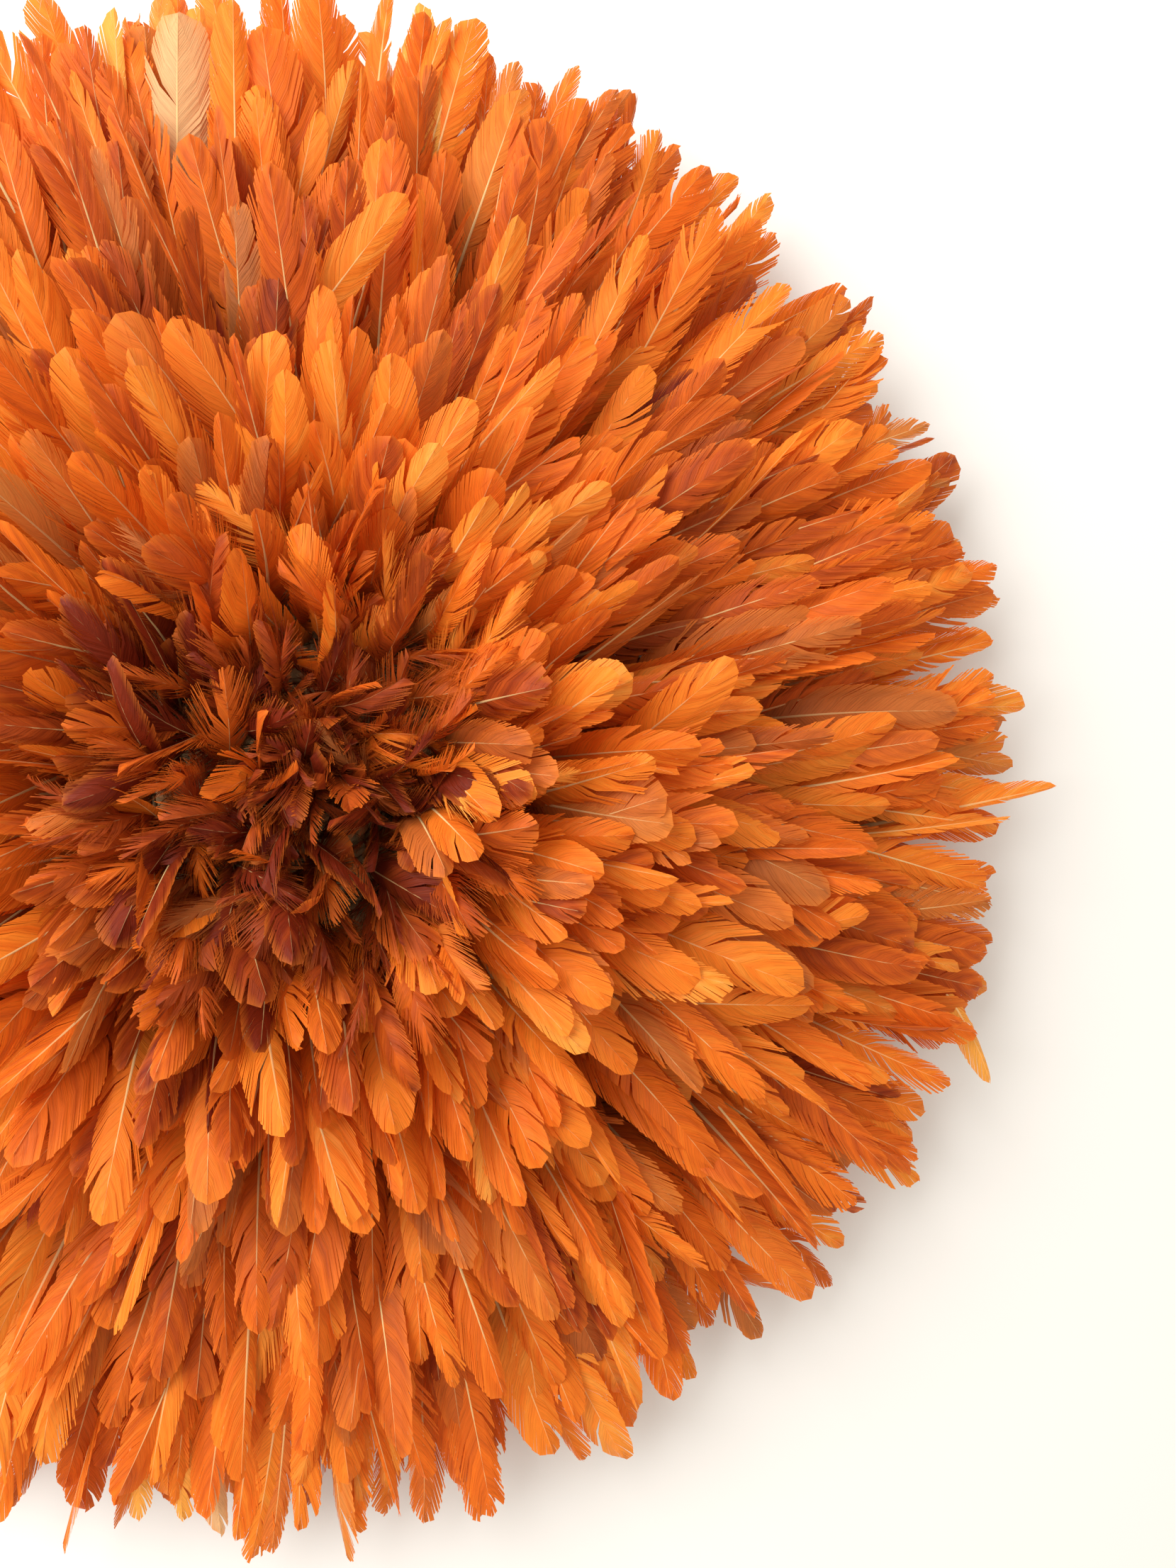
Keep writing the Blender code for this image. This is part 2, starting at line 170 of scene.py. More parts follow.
PATCHES = [Patch(*row) for row in (
    (730, 925, 170, 0.38, 0.0),
    (560, 650, 150, 0.22, 0.0),
    (560, 1180, 90, -0.22, 0.0),
    (20, 920, 140, -0.42, 0.0),
    (50, 1190, 130, -0.26, 0.0),
    (620, 1175, 90, -0.32, 0.0),
    (640, 1290, 80, -0.12, 0.0),
    (790, 1175, 80, 0.22, 0.0),
    (860, 900, 90, 0.12, 0.0),
    (450, 200, 130, -0.12, 0.0),
    (700, 400, 110, -0.10, 0.0),
    (1030, 480, 110, -0.12, 0.0),
    (760, 1728, 90, -0.12, 0.0),
    (346, 1900, 70, -0.10, 0.0),
    (450, 30, 150, 0.16, 0.0),
    (200, 30, 120, 0.14, 0.0),
    (380, 2150, 160, 0.16, 0.0),
    (70, 30, 90, 0.0, -0.03),
    (1330, 610, 100, 0.0, -0.05),
    (1060, 1880, 110, 0.0, -0.03),
    (250, 1590, 120, -0.20, 0.0),
    (350, 1866, 90, -0.25, 0.0),
    (1090, 480, 120, -0.16, 0.0),
    (1160, 760, 90, -0.18, 0.0),
    (60, 1450, 130, -0.26, 0.0),
    (350, 1450, 80, -0.22, 0.0),
    (210, 1590, 90, -0.30, 0.0),
    (150, 210, 150, -0.24, 0.0),
    (370, 350, 110, -0.28, 0.0),
    (330, 215, 200, -0.10, 0.0),
    (760, 483, 90, -0.12, 0.0),
    (350, 622, 90, -0.11, 0.0),
    (620, 622, 80, -0.10, 0.0),
    (970, 898, 90, 0.20, 0.0),
    (622, 898, 70, 0.16, 0.0),
    (60, 898, 90, -0.12, 0.0),
    (484, 1313, 80, 0.18, 0.0),
    (1000, 1589, 130, 0.10, 0.0),
    (760, 2004, 90, -0.10, 0.0),
    (560, 20, 110, 0.12, -0.03),
    (1180, 470, 100, 0.0, -0.025),
    (60, 2150, 100, 0.0, 0.04),
    (480, 2150, 130, 0.0, -0.03),
    (210, 2010, 90, -0.22, 0.0),
    (800, 1590, 110, 0.22, 0.0),
    (900, 1430, 90, 0.18, 0.0),
    (900, 1850, 130, 0.16, 0.0),
    (250, 2200, 330, 0.0, -0.075),
    (900, 2050, 200, 0.0, -0.045),
    (1200, 520, 140, 0.0, 0.01),
)]


class Standout(NamedTuple):
    """A feather that stands out in the photograph, in pixels of its frame."""

    out_x: float  # where it comes out from under the others
    out_y: float
    tip_x: float
    tip_y: float
    lift: float  # metres that its tip stands over the ring's
    bow: float  # degrees
    sweep: float  # degrees that it curves sideways by
    kind: str
    breadth: float  # metres
    dye: float
    pale: float  # up to 1 for tan, and 2 for pale yellow


STANDOUTS = [Standout(*row) for row in (
    (792, 1168, 939, 1123, 0.004, 40, 0, "paddle", 0.030, 0.62, 0.55),
    (719, 1328, 858, 1419, 0.005, 44, 0, "paddle", 0.031, 0.60, 0.65),
    (704, 1355, 801, 1461, 0.007, 40, 4, "wing", 0.020, 0.95, 0.0),
    (858, 1325, 990, 1382, 0.005, 40, -4, "cover", 0.028, 0.92, 0.0),
    (933, 1015, 1036, 930, 0.004, 38, 0, "cover", 0.026, 0.95, 0.0),
    (746, 1039, 873, 954, 0.006, 42, -6, "wing", 0.021, 1.00, 0.0),
    (749, 1123, 924, 1072, 0.006, 40, 0, "ragged", 0.020, 0.95, 0.0),
    (936, 1114, 1066, 1087, 0.005, 36, 0, "wing", 0.020, 0.98, 0.0),
    (933, 1159, 1042, 1165, 0.004, 36, 0, "cover", 0.024, 0.70, 0.1),
    (855, 1189, 1018, 1189, 0.004, 38, 4, "wing", 0.017, 0.60, 0.5),
    (777, 1204, 957, 1240, 0.006, 38, 0, "blade", 0.014, 0.98, 0.0),
    (900, 1274, 1036, 1274, 0.005, 36, -8, "blade", 0.015, 0.98, 0.0),
    (1042, 1415, 1150, 1418, 0.004, 32, 0, "cover", 0.022, 0.98, 0.0),
    (1150, 1304, 1229, 1289, 0.004, 30, 0, "cover", 0.020, 1.00, 0.0),
    (1072, 1346, 1150, 1394, 0.004, 32, 0, "paddle", 0.026, 0.60, 0.7),
    (1102, 1226, 1175, 1262, 0.003, 30, 0, "paddle", 0.027, 0.60, 0.8),
    (590, 1150, 630, 1232, 0.006, 64, 0, "paddle", 0.018, 0.50, 0.45),
    (610, 1140, 676, 1208, 0.008, 64, 0, "paddle", 0.018, 0.78, 0.05),
    (251, 150, 251, 8, 0.006, 18, 0, "paddle", 0.034, 0.90, 1.7),
    (172, 190, 160, 6, 0.006, 20, 3, "blade", 0.019, 1.50, 0.0),
    (588, 150, 592, 2, 0.006, 20, -5, "wing", 0.018, 1.45, 0.0),
    (620, 160, 654, 34, 0.007, 20, 8, "ragged", 0.017, 1.55, 0.0),
    (386, 165, 368, 30, 0.007, 20, 0, "paddle", 0.033, 0.62, 0.0),
    (290, 690, 181, 515, 0.009, 40, 0, "ragged", 0.021, 1.05, 0.0),
    (488, 735, 466, 478, 0.009, 44, 0, "wing", 0.020, 1.08, 0.0),
    (543, 700, 551, 498, 0.008, 44, 0, "cover", 0.023, 0.92, 0.0),
    (579, 705, 667, 563, 0.008, 44, 0, "cover", 0.027, 0.88, 0.1),
    (643, 670, 790, 500, 0.006, 40, 0, "blade", 0.016, 0.98, 0.0),
    (120, 720, 40, 605, 0.008, 40, 0, "ragged", 0.022, 0.80, 0.4),
    (507, 364, 575, 273, 0.007, 28, 6, "cover", 0.022, 1.02, 0.0),
    (691, 420, 732, 301, 0.007, 28, 0, "wing", 0.019, 1.05, 0.0),
    (332, 664, 165, 440, 0.007, 40, 4, "paddle", 0.034, 0.78, 0.35),
    (370, 640, 240, 450, 0.006, 40, 0, "cover", 0.028, 0.85, 0.15),
    (633, 885, 774, 704, 0.006, 46, 0, "blade", 0.017, 1.05, 0.0),
    (652, 820, 742, 680, 0.007, 46, 6, "blade", 0.015, 1.10, 0.0),
    (600, 850, 690, 700, 0.006, 46, 0, "wing", 0.018, 1.05, 0.0),
    (480, 620, 505, 460, 0.006, 46, 0, "wing", 0.019, 0.80, 0.0),
    (1370, 1134, 1492, 1108, 0.005, 16, 0, "blade", 0.012, 1.05, 0.0),
    (1325, 1392, 1398, 1530, 0.003, 16, -40, "blade", 0.014, 1.45, 0.0),
    (302, 1450, 292, 1700, 0.006, 42, 4, "cover", 0.027, 0.80, 0.2),
    (422, 1480, 493, 1730, 0.006, 42, 0, "wing", 0.021, 0.98, 0.0),
    (191, 1488, 141, 1730, 0.006, 42, 0, "cover", 0.025, 0.85, 0.0),
    (372, 1420, 402, 1600, 0.005, 44, 0, "wing", 0.020, 0.95, 0.0),
    (201, 2080, 196, 2150, -0.004, 18, 10, "ragged", 0.016, 1.55, 0.0),
    (302, 2080, 312, 2172, -0.004, 18, -8, "wing", 0.017, 1.20, 1.75),
    (255, 2090, 258, 2150, -0.006, 18, 4, "ragged", 0.016, 1.50, 0.0),
    (638, 1000, 777, 969, 0.007, 50, 0, "ragged", 0.024, 0.22, 0.0),
    (633, 1047, 747, 1052, 0.006, 52, 0, "petal", 0.023, 0.45, 0.4),
    (694, 1087, 786, 1095, 0.004, 50, 0, "cover", 0.023, 0.60, 0.5),
    (690, 1086, 747, 1121, 0.007, 54, 0, "petal", 0.020, 0.16, 0.0),
    (664, 1178, 755, 1165, 0.006, 54, 0, "ragged", 0.026, 0.52, 0.1),
    (664, 1231, 836, 1248, 0.006, 46, 0, "cover", 0.021, 0.60, 0.45),
    (664, 1252, 825, 1287, 0.004, 48, 0, "ragged", 0.024, 0.24, 0.0),
)]


def colour_setting(name, description, default):
    """A colour that the user may change."""
    return FloatVectorProperty(
        name=name,
        description=description,
        default=default,
        subtype="COLOR",
        size=3,
        min=0.0,
        max=1.0,
    )


def length_setting(name, description, default, least):
    """A length in metres that the user may change."""
    return FloatProperty(name=name, description=description, default=default, unit="LENGTH", min=least)


class FeatherSettings(PropertyGroup):
    """Sizes and colours of the feathers."""

    scatter_seed: IntProperty(
        name="Scatter",
        description="Which of the random arrangements the feathers take",
        default=11,
        min=0,
    )
    length_scale: FloatProperty(
        name="Length",
        description="Length of every feather against the CAD model's rows",
        default=1.0,
        min=0.8,
        max=1.05,
        subtype="FACTOR",
    )
    dark_dye: colour_setting(
        "Dark Dye",
        "Dye on the dullest feathers, near the crown",
        (0.215, 0.0235, 0.0065),
    )
    rust_dye: colour_setting(
        "Rust Dye",
        "Dye on the feathers between the crown and the outer rings",
        (0.550, 0.094, 0.013),
    )
    orange_dye: colour_setting("Orange Dye", "Dye on most of the outer feathers", (0.900, 0.188, 0.015))
    # This colour is also painted onto the thin barb ends as the light that shines through them.
    bright_dye_and_painted_glow: colour_setting("Bright Dye", "Dye on the brightest feathers", (1.000, 0.285, 0.028))
    yellow_dye: colour_setting(
        "Yellow Dye",
        "Dye on the few lightest tips at the edge",
        (1.000, 0.440, 0.075),
    )
    tan_dye: colour_setting("Tan Dye", "Dye that turned dull on some feathers", (0.560, 0.190, 0.048))
    pale_dye: colour_setting("Pale Dye", "The few feathers that took little dye", (0.960, 0.620, 0.300))
    shaft_colour: colour_setting(
        "Shaft",
        "Colour of the shafts down the feathers' middle",
        (1.000, 0.760, 0.350),
    )


class BasketSettings(PropertyGroup):
    """Sizes and colours of the cap, its rim, the ribs and the cords."""

    basket_seed: IntProperty(
        name="Basket",
        description="Which of the random arrangements the stitches take",
        default=5,
        min=0,
    )
    coil_turns: IntProperty(
        name="Coil Turns",
        description="Turns of the cap's coil from the crown to the mouth",
        default=20,
        min=8,
        max=30,
    )
    stitch_spacing: length_setting(
        "Stitch Spacing",
        "Distance along the coil between stitches",
        0.0062,
        0.003,
    )
    stitch_width: length_setting(
        "Stitch Width",
        "Width of the strip that a stitch is made with",
        0.0022,
        0.0005,
    )
    stitch_height: length_setting("Stitch Height", "How far a stitch stands over the coil", 0.00025, 0.0)
    wrap_width: length_setting(
        "Wrap Width",
        "Width of the strips that the rim is wound with",
        0.0036,
        0.001,
    )
    wrap_relief: length_setting(
        "Wrap Relief",
        "Depth of the grooves between the rim's strips",
        0.0005,
        0.0,
    )
    twine_lay: length_setting("Twine Lay", "Length of one twist of the cords", 0.016, 0.002)
    lashing_diameter: length_setting(
        "Lashing",
        "Thickness of the twine that binds the ribs to the cords",
        0.0012,
        0.0002,
    )
    raffia_colour: colour_setting("Raffia", "Colour of the cap's raffia", (0.470, 0.310, 0.150))
    wrap_colour: colour_setting(
        "Rim Raffia",
        "Colour of the raffia wound round the rim",
        (0.400, 0.250, 0.110),
    )
    cane_colour: colour_setting("Cane", "Colour of the cane ribs", (0.500, 0.330, 0.160))
    twine_colour: colour_setting(
        "Twine",
        "Colour of the cords, the lashings and the loop",
        (0.380, 0.250, 0.120),
    )


class StageSettings(PropertyGroup):
    """The camera, the lights and the floor."""

    camera_place: FloatVectorProperty(
        name="Camera",
        description="Where the camera stands over the headdress",
        default=(0.0015, -0.0055, 0.7205),
        subtype="TRANSLATION",
        unit="LENGTH",
        size=3,
    )
    camera_turn: FloatProperty(
        name="Turn",
        description="How far the camera looks to the right of straight down",
        default=math.radians(12.0),
        subtype="ANGLE",
    )
    focal_pixels: FloatProperty(
        name="Focal Length",
        description="Focal length in pixels of the photograph's frame",
        default=1850.0,
        min=500.0,
    )
    window_power: FloatProperty(
        name="Window",
        description="Power of the soft light from the upper left",
        default=53.0,
        unit="POWER",
        min=0.0,
    )
    room_light: FloatProperty(
        name="Room",
        description="Strength of the even light from all round",
        default=0.780,
        min=0.0,
    )


def drift(rng, count, knots):
    """Random values from -1 to 1 that change smoothly over count places."""
    values = rng.uniform(-1.0, 1.0, knots)
    return np.interp(np.linspace(0.0, knots - 1.0, count), np.arange(knots), values)


ROOT_BREADTH, BREADTH_GAIN, GAIN_POWER = 0.42, 0.58, 0.8  # from the lowest barbs to the widest place


def half_breadth(x, kind):
    """The vane's outline: its half breadth at x, as a share of the greatest."""
    turned = np.sin(0.5 * np.pi * np.clip(x / kind.widest, 0.0, 1.0))
    rising = ROOT_BREADTH + BREADTH_GAIN * turned**GAIN_POWER
    beyond = np.clip((x - kind.widest) / (1.0 - kind.widest), 0.0, 1.0)
    falling = (1.0 - beyond**kind.bluntness) ** (1.0 / kind.bluntness)
    return np.where(x < kind.widest, rising, falling)


# A lock of barbs has two points at the shaft, three halfway out, and two at the end of each of its
# two strands. These say for each point which of the lock's edges or its middle it is on, how far
# out it is and whether it belongs to the whole lock or to a strand.
LOCK_EDGE = np.array((0, 2, 0, 1, 2, 0, 1, 1, 2))
LOCK_LEVEL = np.array((0, 0, 1, 1, 1, 2, 2, 2, 2))
LOCK_STRAND = np.array((0, 0, 0, 0, 0, 1, 1, 2, 2))
LOCK_QUADS = np.array(((0, 1, 4, 2), (2, 3, 6, 5), (3, 4, 8, 7)))
LEVEL_OUT = np.array((0.0, 0.5, 1.0))
LEVEL_X = np.array((0.0, 0.38, 1.0))
LEVEL_Y = np.array((0.0, 0.56, 1.0))
TIP_CROWDING = 0.76  # below 1, the locks are finer towards the feather's tip
FIRST_BARB = 0.05  # the lowest barbs end this far beyond the bare quill
LAST_ROOT = 0.965  # how far along the shaft the last barbs start
DOWN_LENGTH = 0.30  # how much of the feather has loose down at its base
DOWN_STRAY = 9.0  # degrees that the down strays by
DOWN_FRAY = 0.25
VANE_WAVE = 0.12  # how far the vane waves up and down, as a share of its breadth
LOCK_RISE = 0.014  # how far a lock stands over the next, as a share of the vane's breadth
LOCK_TILT = 0.022  # how far a lock's edge stands up, as a share of the vane's breadth
LOCK_STRAY = 0.35  # how far a lock strays by itself, as a share of how far its neighbours stray with it
STRAY_KNOTS, WAVE_KNOTS = 7, 5  # how often the stray and the wave turn along the vane
LIKE_LOCK, UNLIKE_LOCK = 0.6, 0.6  # how much of a strand's end is its lock's and how much its own
FRAY_SHARE, FRAY_INWARD = 0.6, 0.2  # the ends fray more inwards than outwards
STRAND_STRAY = 0.5  # shares of the kind's loose degrees
RISE_POWER = 1.6  # how late along the barbs a lock rises
# How a vane parts: where along the locks, how far of the kind's gap, over how many locks, how the
# turn and the rise fall on the locks before and after it, and how high it steps in half breadths.
SPLIT_PLACE, SPLIT_GAP, SPLIT_REACH = (0.10, 0.98), (0.3, 1.0), (1.2, 5.0)
SPLIT_TURNS, SPLIT_RISES, SPLIT_STEP = (-0.75, 0.25), (-1.0, 0.5), (0.02, 0.10)


def part_vane(rng, kind, half, stray, rise):
    """Parts a vane in a few places, where its locks turn away from each other and step up or down."""
    count = len(stray)
    places = np.arange(count)
    for _ in range(rng.integers(1, kind.splits + 1)):
        at = rng.uniform(*SPLIT_PLACE) * count
        gap = rng.uniform(*SPLIT_GAP) * math.radians(kind.gap)
        near = np.exp(-np.abs(places - at) / rng.uniform(*SPLIT_REACH))
        before = places < at
        stray += np.where(before, SPLIT_TURNS[0] * gap, SPLIT_TURNS[1] * gap) * near
        rise += np.where(before, *SPLIT_RISES) * near * rng.uniform(*SPLIT_STEP) * half


def vane(rng, kind, length, half, side):
    """One side of a feather, flat along X, as locks of barbs.

    Returns the points, locks x 9 x 3, how far out along its barb each one is, and where that barb starts.
    """
    count = kind.locks
    crowded = np.linspace(0.0, 1.0, count + 1) ** TIP_CROWDING
    ends_x = kind.bare + FIRST_BARB + (1.0 - FIRST_BARB - kind.bare) * crowded
    ends_y = half * half_breadth(ends_x, kind)
    angle = np.radians(np.linspace(kind.base_angle, kind.tip_angle, count + 1))
    roots_x = ends_x - ends_y / np.tan(angle) / length
    roots_x = np.maximum.accumulate(np.clip(roots_x, kind.bare, LAST_ROOT)) * length
    down = np.clip(1.0 - (ends_x[:-1] - kind.bare) / DOWN_LENGTH, 0.0, 1.0)

    stray = drift(rng, count, STRAY_KNOTS) + LOCK_STRAY * rng.uniform(-1, 1, count)
    stray *= np.radians(kind.loose)
    stray += np.radians(DOWN_STRAY) * down * rng.uniform(-1, 1, count)
    rise = drift(rng, count, WAVE_KNOTS) * VANE_WAVE * half + rng.uniform(-1, 1, count) * LOCK_RISE * half
    part_vane(rng, kind, half, stray, rise)
    uneven = rng.uniform(-1, 1, (3, count))
    uneven[1:] = LIKE_LOCK * uneven[0] + UNLIKE_LOCK * uneven[1:]
    longer = 1.0 + (kind.fray + DOWN_FRAY * down) * (uneven - FRAY_INWARD) * FRAY_SHARE
    strays = stray + np.radians(kind.loose * STRAND_STRAY) * rng.uniform(-1, 1, (3, count))
    strays[0] = stray
    tilt = rng.uniform(-1, 1, count) * LOCK_TILT * half

    edges = np.arange(count) + np.array((0.0, 0.5, 1.0))[:, None]
    numbers = np.arange(count + 1)
    root = np.interp(edges, numbers, roots_x)[LOCK_EDGE]
    reach_x = np.interp(edges, numbers, ends_x * length - roots_x)[LOCK_EDGE]
    reach_y = np.interp(edges, numbers, ends_y)[LOCK_EDGE]
    spread_x = reach_x * LEVEL_X[LOCK_LEVEL][:, None] * longer[LOCK_STRAND]
    spread_y = reach_y * LEVEL_Y[LOCK_LEVEL][:, None] * longer[LOCK_STRAND]
    turn = strays[LOCK_STRAND]
    out = np.repeat(LEVEL_OUT[LOCK_LEVEL][:, None], count, axis=1)
    x = root + spread_x * np.cos(turn) + spread_y * np.sin(turn)
    y = spread_y * np.cos(turn) - spread_x * np.sin(turn)
    z = rise * out**RISE_POWER - kind.camber * half * out**2 * 0.5 + tilt * out * (LOCK_EDGE - 1.0)[:, None]
    points = np.stack((x, y * side, z), axis=-1).transpose(1, 0, 2)
    for strand in (slice(5, 7), slice(7, 9)):
        middle = points[:, strand].mean(axis=1, keepdims=True)
        points[:, strand] = middle + (points[:, strand] - middle) * kind.taper
    return points, out.T, root.T


SHAFT_STEPS = 10
SHAFT_END = 0.97  # how far along the feather the shaft ends
SHAFT_THINNING = 0.93
# The shaft's section, in half breadths: a low ridge over the vane, and the round side under it,
# which has edge points of its own, so that the ridge stays crisp.
SHAFT_SECTION = np.array(((-1.0, 0.10), (0.0, 0.75), (1.0, 0.10), (1.0, 0.10), (0.0, -0.60), (-1.0, 0.10)))


def shaft(kind, length):
    """The shaft: a tube along X that thins towards the feather's tip, with its faces."""
    x = np.linspace(0.0, SHAFT_END, SHAFT_STEPS + 1)
    radius = kind.shaft / 2 * (1.0 - SHAFT_THINNING * x)
    sides = len(SHAFT_SECTION)
    points = np.empty((SHAFT_STEPS + 1, sides, 3))
    points[:, :, 0] = x[:, None] * length
    points[:, :, 1:] = radius[:, None, None] * SHAFT_SECTION
    corner = np.arange((SHAFT_STEPS + 1) * sides).reshape(SHAFT_STEPS + 1, sides)
    left = corner[:, (0, 1, 3, 4)]
    right = corner[:, (1, 2, 4, 5)]
    faces = np.stack((left[:-1], left[1:], right[1:], right[:-1]), axis=-1)
    return points.reshape(-1, 3), faces.reshape(-1, 4)[:, ::-1]


class Pose(NamedTuple):
    """How a feather stands: its root, its bearing round the axis and its angles in radians."""

    root: tuple  # radius, height
    bearing: float
    slope: float
    bow: float
    curl: float
    heading: float
    sweep: float
    roll: float
    twist: float
    aside: float = 0.0  # metres that the root stands beside its bearing


PATH_START, PATH_END, PATH_STEPS = -0.05, 1.25, 27  # the bent path runs past the feather's ends
CURL_POWER = 4  # a high power keeps the curl near the tip


def set_feather(points, length, pose):
    """The flat feather's points bent and placed as the pose says."""
    share = points[:, 0] / length

    def angles(at):
        slope = pose.slope - pose.bow * at - pose.curl * np.clip(at, 0.0, 1.2) ** CURL_POWER
        return slope, pose.heading + pose.sweep * at

    def direction(at):
        slope, heading = angles(at)
        return np.stack(
            (np.cos(heading) * np.cos(slope), np.sin(heading), np.cos(heading) * np.sin(slope)),
            axis=-1,
        )

    steps = np.linspace(PATH_START, PATH_END, PATH_STEPS)
    ways = direction(steps)
    path = np.zeros((len(steps), 3))
    path[1:] = np.cumsum((ways[1:] + ways[:-1]) / 2 * (steps[1] - steps[0]) * length, axis=0)
    path -= [np.interp(0.0, steps, path[:, i]) for i in range(3)]
    middle = np.stack([np.interp(share, steps, path[:, i]) for i in range(3)], axis=-1)
    slope, heading = angles(share)
    beside = np.stack(
        (-np.sin(heading) * np.cos(slope), np.cos(heading), -np.sin(heading) * np.sin(slope)), axis=-1
    )
    over = np.stack((-np.sin(slope), np.zeros_like(slope), np.cos(slope)), axis=-1)
    lean = (pose.roll + pose.twist * share)[:, None]
    across = np.cos(lean) * beside + np.sin(lean) * over
    up = np.cos(lean) * over - np.sin(lean) * beside
    local = middle + across * points[:, 1:2] + up * points[:, 2:3]
    radius, height = pose.root
    turn_cos, turn_sin = math.cos(pose.bearing), math.sin(pose.bearing)
    x, y = radius + local[:, 0], pose.aside + local[:, 1]
    return np.stack(
        (x * turn_cos - y * turn_sin, x * turn_sin + y * turn_cos, height + local[:, 2]), axis=-1
    )


def add_object(name, data):
    """A new object in the scene."""
    made = bpy.data.objects.new(name, data)
    bpy.context.scene.collection.objects.link(made)
    return made


class Gathered:
    """Strips, tubes or feathers gathered into one mesh, with the marks that their finish reads."""

    def __init__(self, marks):
        self.mark_names = marks
        self.points, self.faces, self.marks = [], [], []
        self.size = 0

    def put(self, points, faces, marks):
        """Points n x 3, quads m x 4, and marks n x the number of mark names."""
        self.faces.append(faces + self.size)
        self.points.append(points)
        self.marks.append(marks)
        self.size += len(points)

    def make(self, name, nodes, slot, finish):
        """The piece NAME, which stands for those CAD nodes."""
        points, faces, marks = (np.concatenate(part) for part in (self.points, self.faces, self.marks))
        mesh = bpy.data.meshes.new(name)
        mesh.vertices.add(len(points))
        mesh.vertices.foreach_set("co", points.ravel())
        mesh.loops.add(faces.size)
        mesh.loops.foreach_set("vertex_index", faces.ravel())
        mesh.polygons.add(len(faces))
        mesh.polygons.foreach_set("loop_start", np.arange(len(faces)) * 4)
        mesh.update(calc_edges=True)
        for column, mark_name in enumerate(self.mark_names):
            layer = mesh.attributes.new(mark_name, "FLOAT", "POINT")
            layer.data.foreach_set("value", np.ascontiguousarray(marks[:, column]))
        mesh.shade_smooth()
        mesh.materials.append(finish)
        piece = add_object(name, mesh)
        if nodes:
            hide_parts(*nodes)
        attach(piece, BODY)
        return piece


MILLIMETRES = 1000.0  # in a metre
PALE_SHAFT = 0.0018  # thinner shafts take more of the dye
LEAST_SHAFT_PALENESS = 0.65
STREAK_SPAN = 50.0  # keeps the streaks of two feathers apart
FEATHER_MARKS = ("along", "across", "barb", "quill", "dye", "pale", "streak")


def add_feather(bunch, rng, kind, length, breadth, pose, dye, pale):
    """Adds one feather, with FEATHER_MARKS on each of its points."""
    uneven = rng.choice((-1.0, 1.0)) * kind.uneven
    parts, faces, columns = [], [], []
    size = 0
    for side in (1.0, -1.0):
        points, out, starts = vane(rng, kind, length, breadth / 2 * (1.0 + side * uneven), side)
        corner = size + np.arange(out.size).reshape(out.shape)
        quads = LOCK_QUADS if side > 0 else LOCK_QUADS[:, ::-1]
        faces.append(corner[:, quads].reshape(-1, 4))
        size += out.size
        parts.append(points.reshape(-1, 3))
        columns.append(np.stack((out.ravel(), starts.ravel() * MILLIMETRES, np.zeros(out.size))))
    points, quads = shaft(kind, length)
    faces.append(size + quads)
    parts.append(points)
    paleness = rng.uniform(LEAST_SHAFT_PALENESS, 1.0) * min(1.0, kind.shaft / PALE_SHAFT)
    columns.append(np.outer((0.0, 0.0, paleness), np.ones(len(points))))
    flat = np.concatenate(parts)
    same = np.tile((dye, pale, rng.uniform(0.0, STREAK_SPAN)), (len(flat), 1))
    marks = np.column_stack((flat[:, 0] / length, np.concatenate(columns, axis=1).T, same))
    bunch.put(set_feather(flat, length, pose), np.concatenate(faces), marks)


def mesh_points(node):
    """The points of a CAD node's mesh."""
    mesh = NODES[node].data
    points = np.empty(len(mesh.vertices) * 3)
    mesh.vertices.foreach_get("co", points)
    return points.reshape(-1, 3)


def row_ends(node):
    """The root and the longest tip of a CAD row, each a radius and a height."""
    points = mesh_points(node)
    radius = np.hypot(points[:, 0], points[:, 1])
    root, tip = np.argmin(points[:, 2]), np.argmax(radius)
    return radius[root], points[root, 2], radius[tip], points[tip, 2]


ROW_ENDS = np.array([row_ends(node) for node in ROW_NODES])
# The tuft is filled in from a row that would stand upright on the axis.
UPRIGHT_TIP = 0.004  # how far from the axis that row's tips are
ROW_ENDS = np.vstack(((0.0, ROW_ENDS[0, 1], UPRIGHT_TIP, ROW_ENDS[0, 3]), ROW_ENDS))
ROW_NUMBERS = np.arange(-1, len(ROW_NODES))


def ring_ends(row):
    """The root and tip of a ring that may stand between two CAD rows."""
    return [float(np.interp(row, ROW_NUMBERS, ROW_ENDS[:, i])) for i in range(4)]


ROW_STRAY = 0.20  # how far a feather's root strays from its ring, in rows
BEARING_STRAY = 0.35  # how far it strays round the ring, in feathers
SWELL = 0.035  # how much longer or shorter the feathers are in some stretches of a ring
LEANING = 0.10  # share of the feathers that show their edge
LEAST_LEAN, MOST_LEAN = 35.0, 65.0  # degrees
TIE_HEIGHT = 0.003  # the quills are tied over one another, up to this high
FEWEST = 5  # feathers in a ring
DULL_SHARE, DULLER = 0.10, 0.28  # the share of feathers that are duller than their ring, and by how much
NARROWEST, BROADEST = 0.66, 1.12  # shares of the kind's breadth
LEAST_BOW, MOST_BOW = 0.7, 1.3  # shares of the ring's bow
LEAST_CURL, MOST_CURL = -0.15, 1.0  # shares of the kind's curl
LEAST_PALE, MOST_PALE = 0.15, 0.8
PALE_SHARE, PALER_OUT = 0.02, 0.28  # the share of pale feathers, and how it grows with the ring's dye


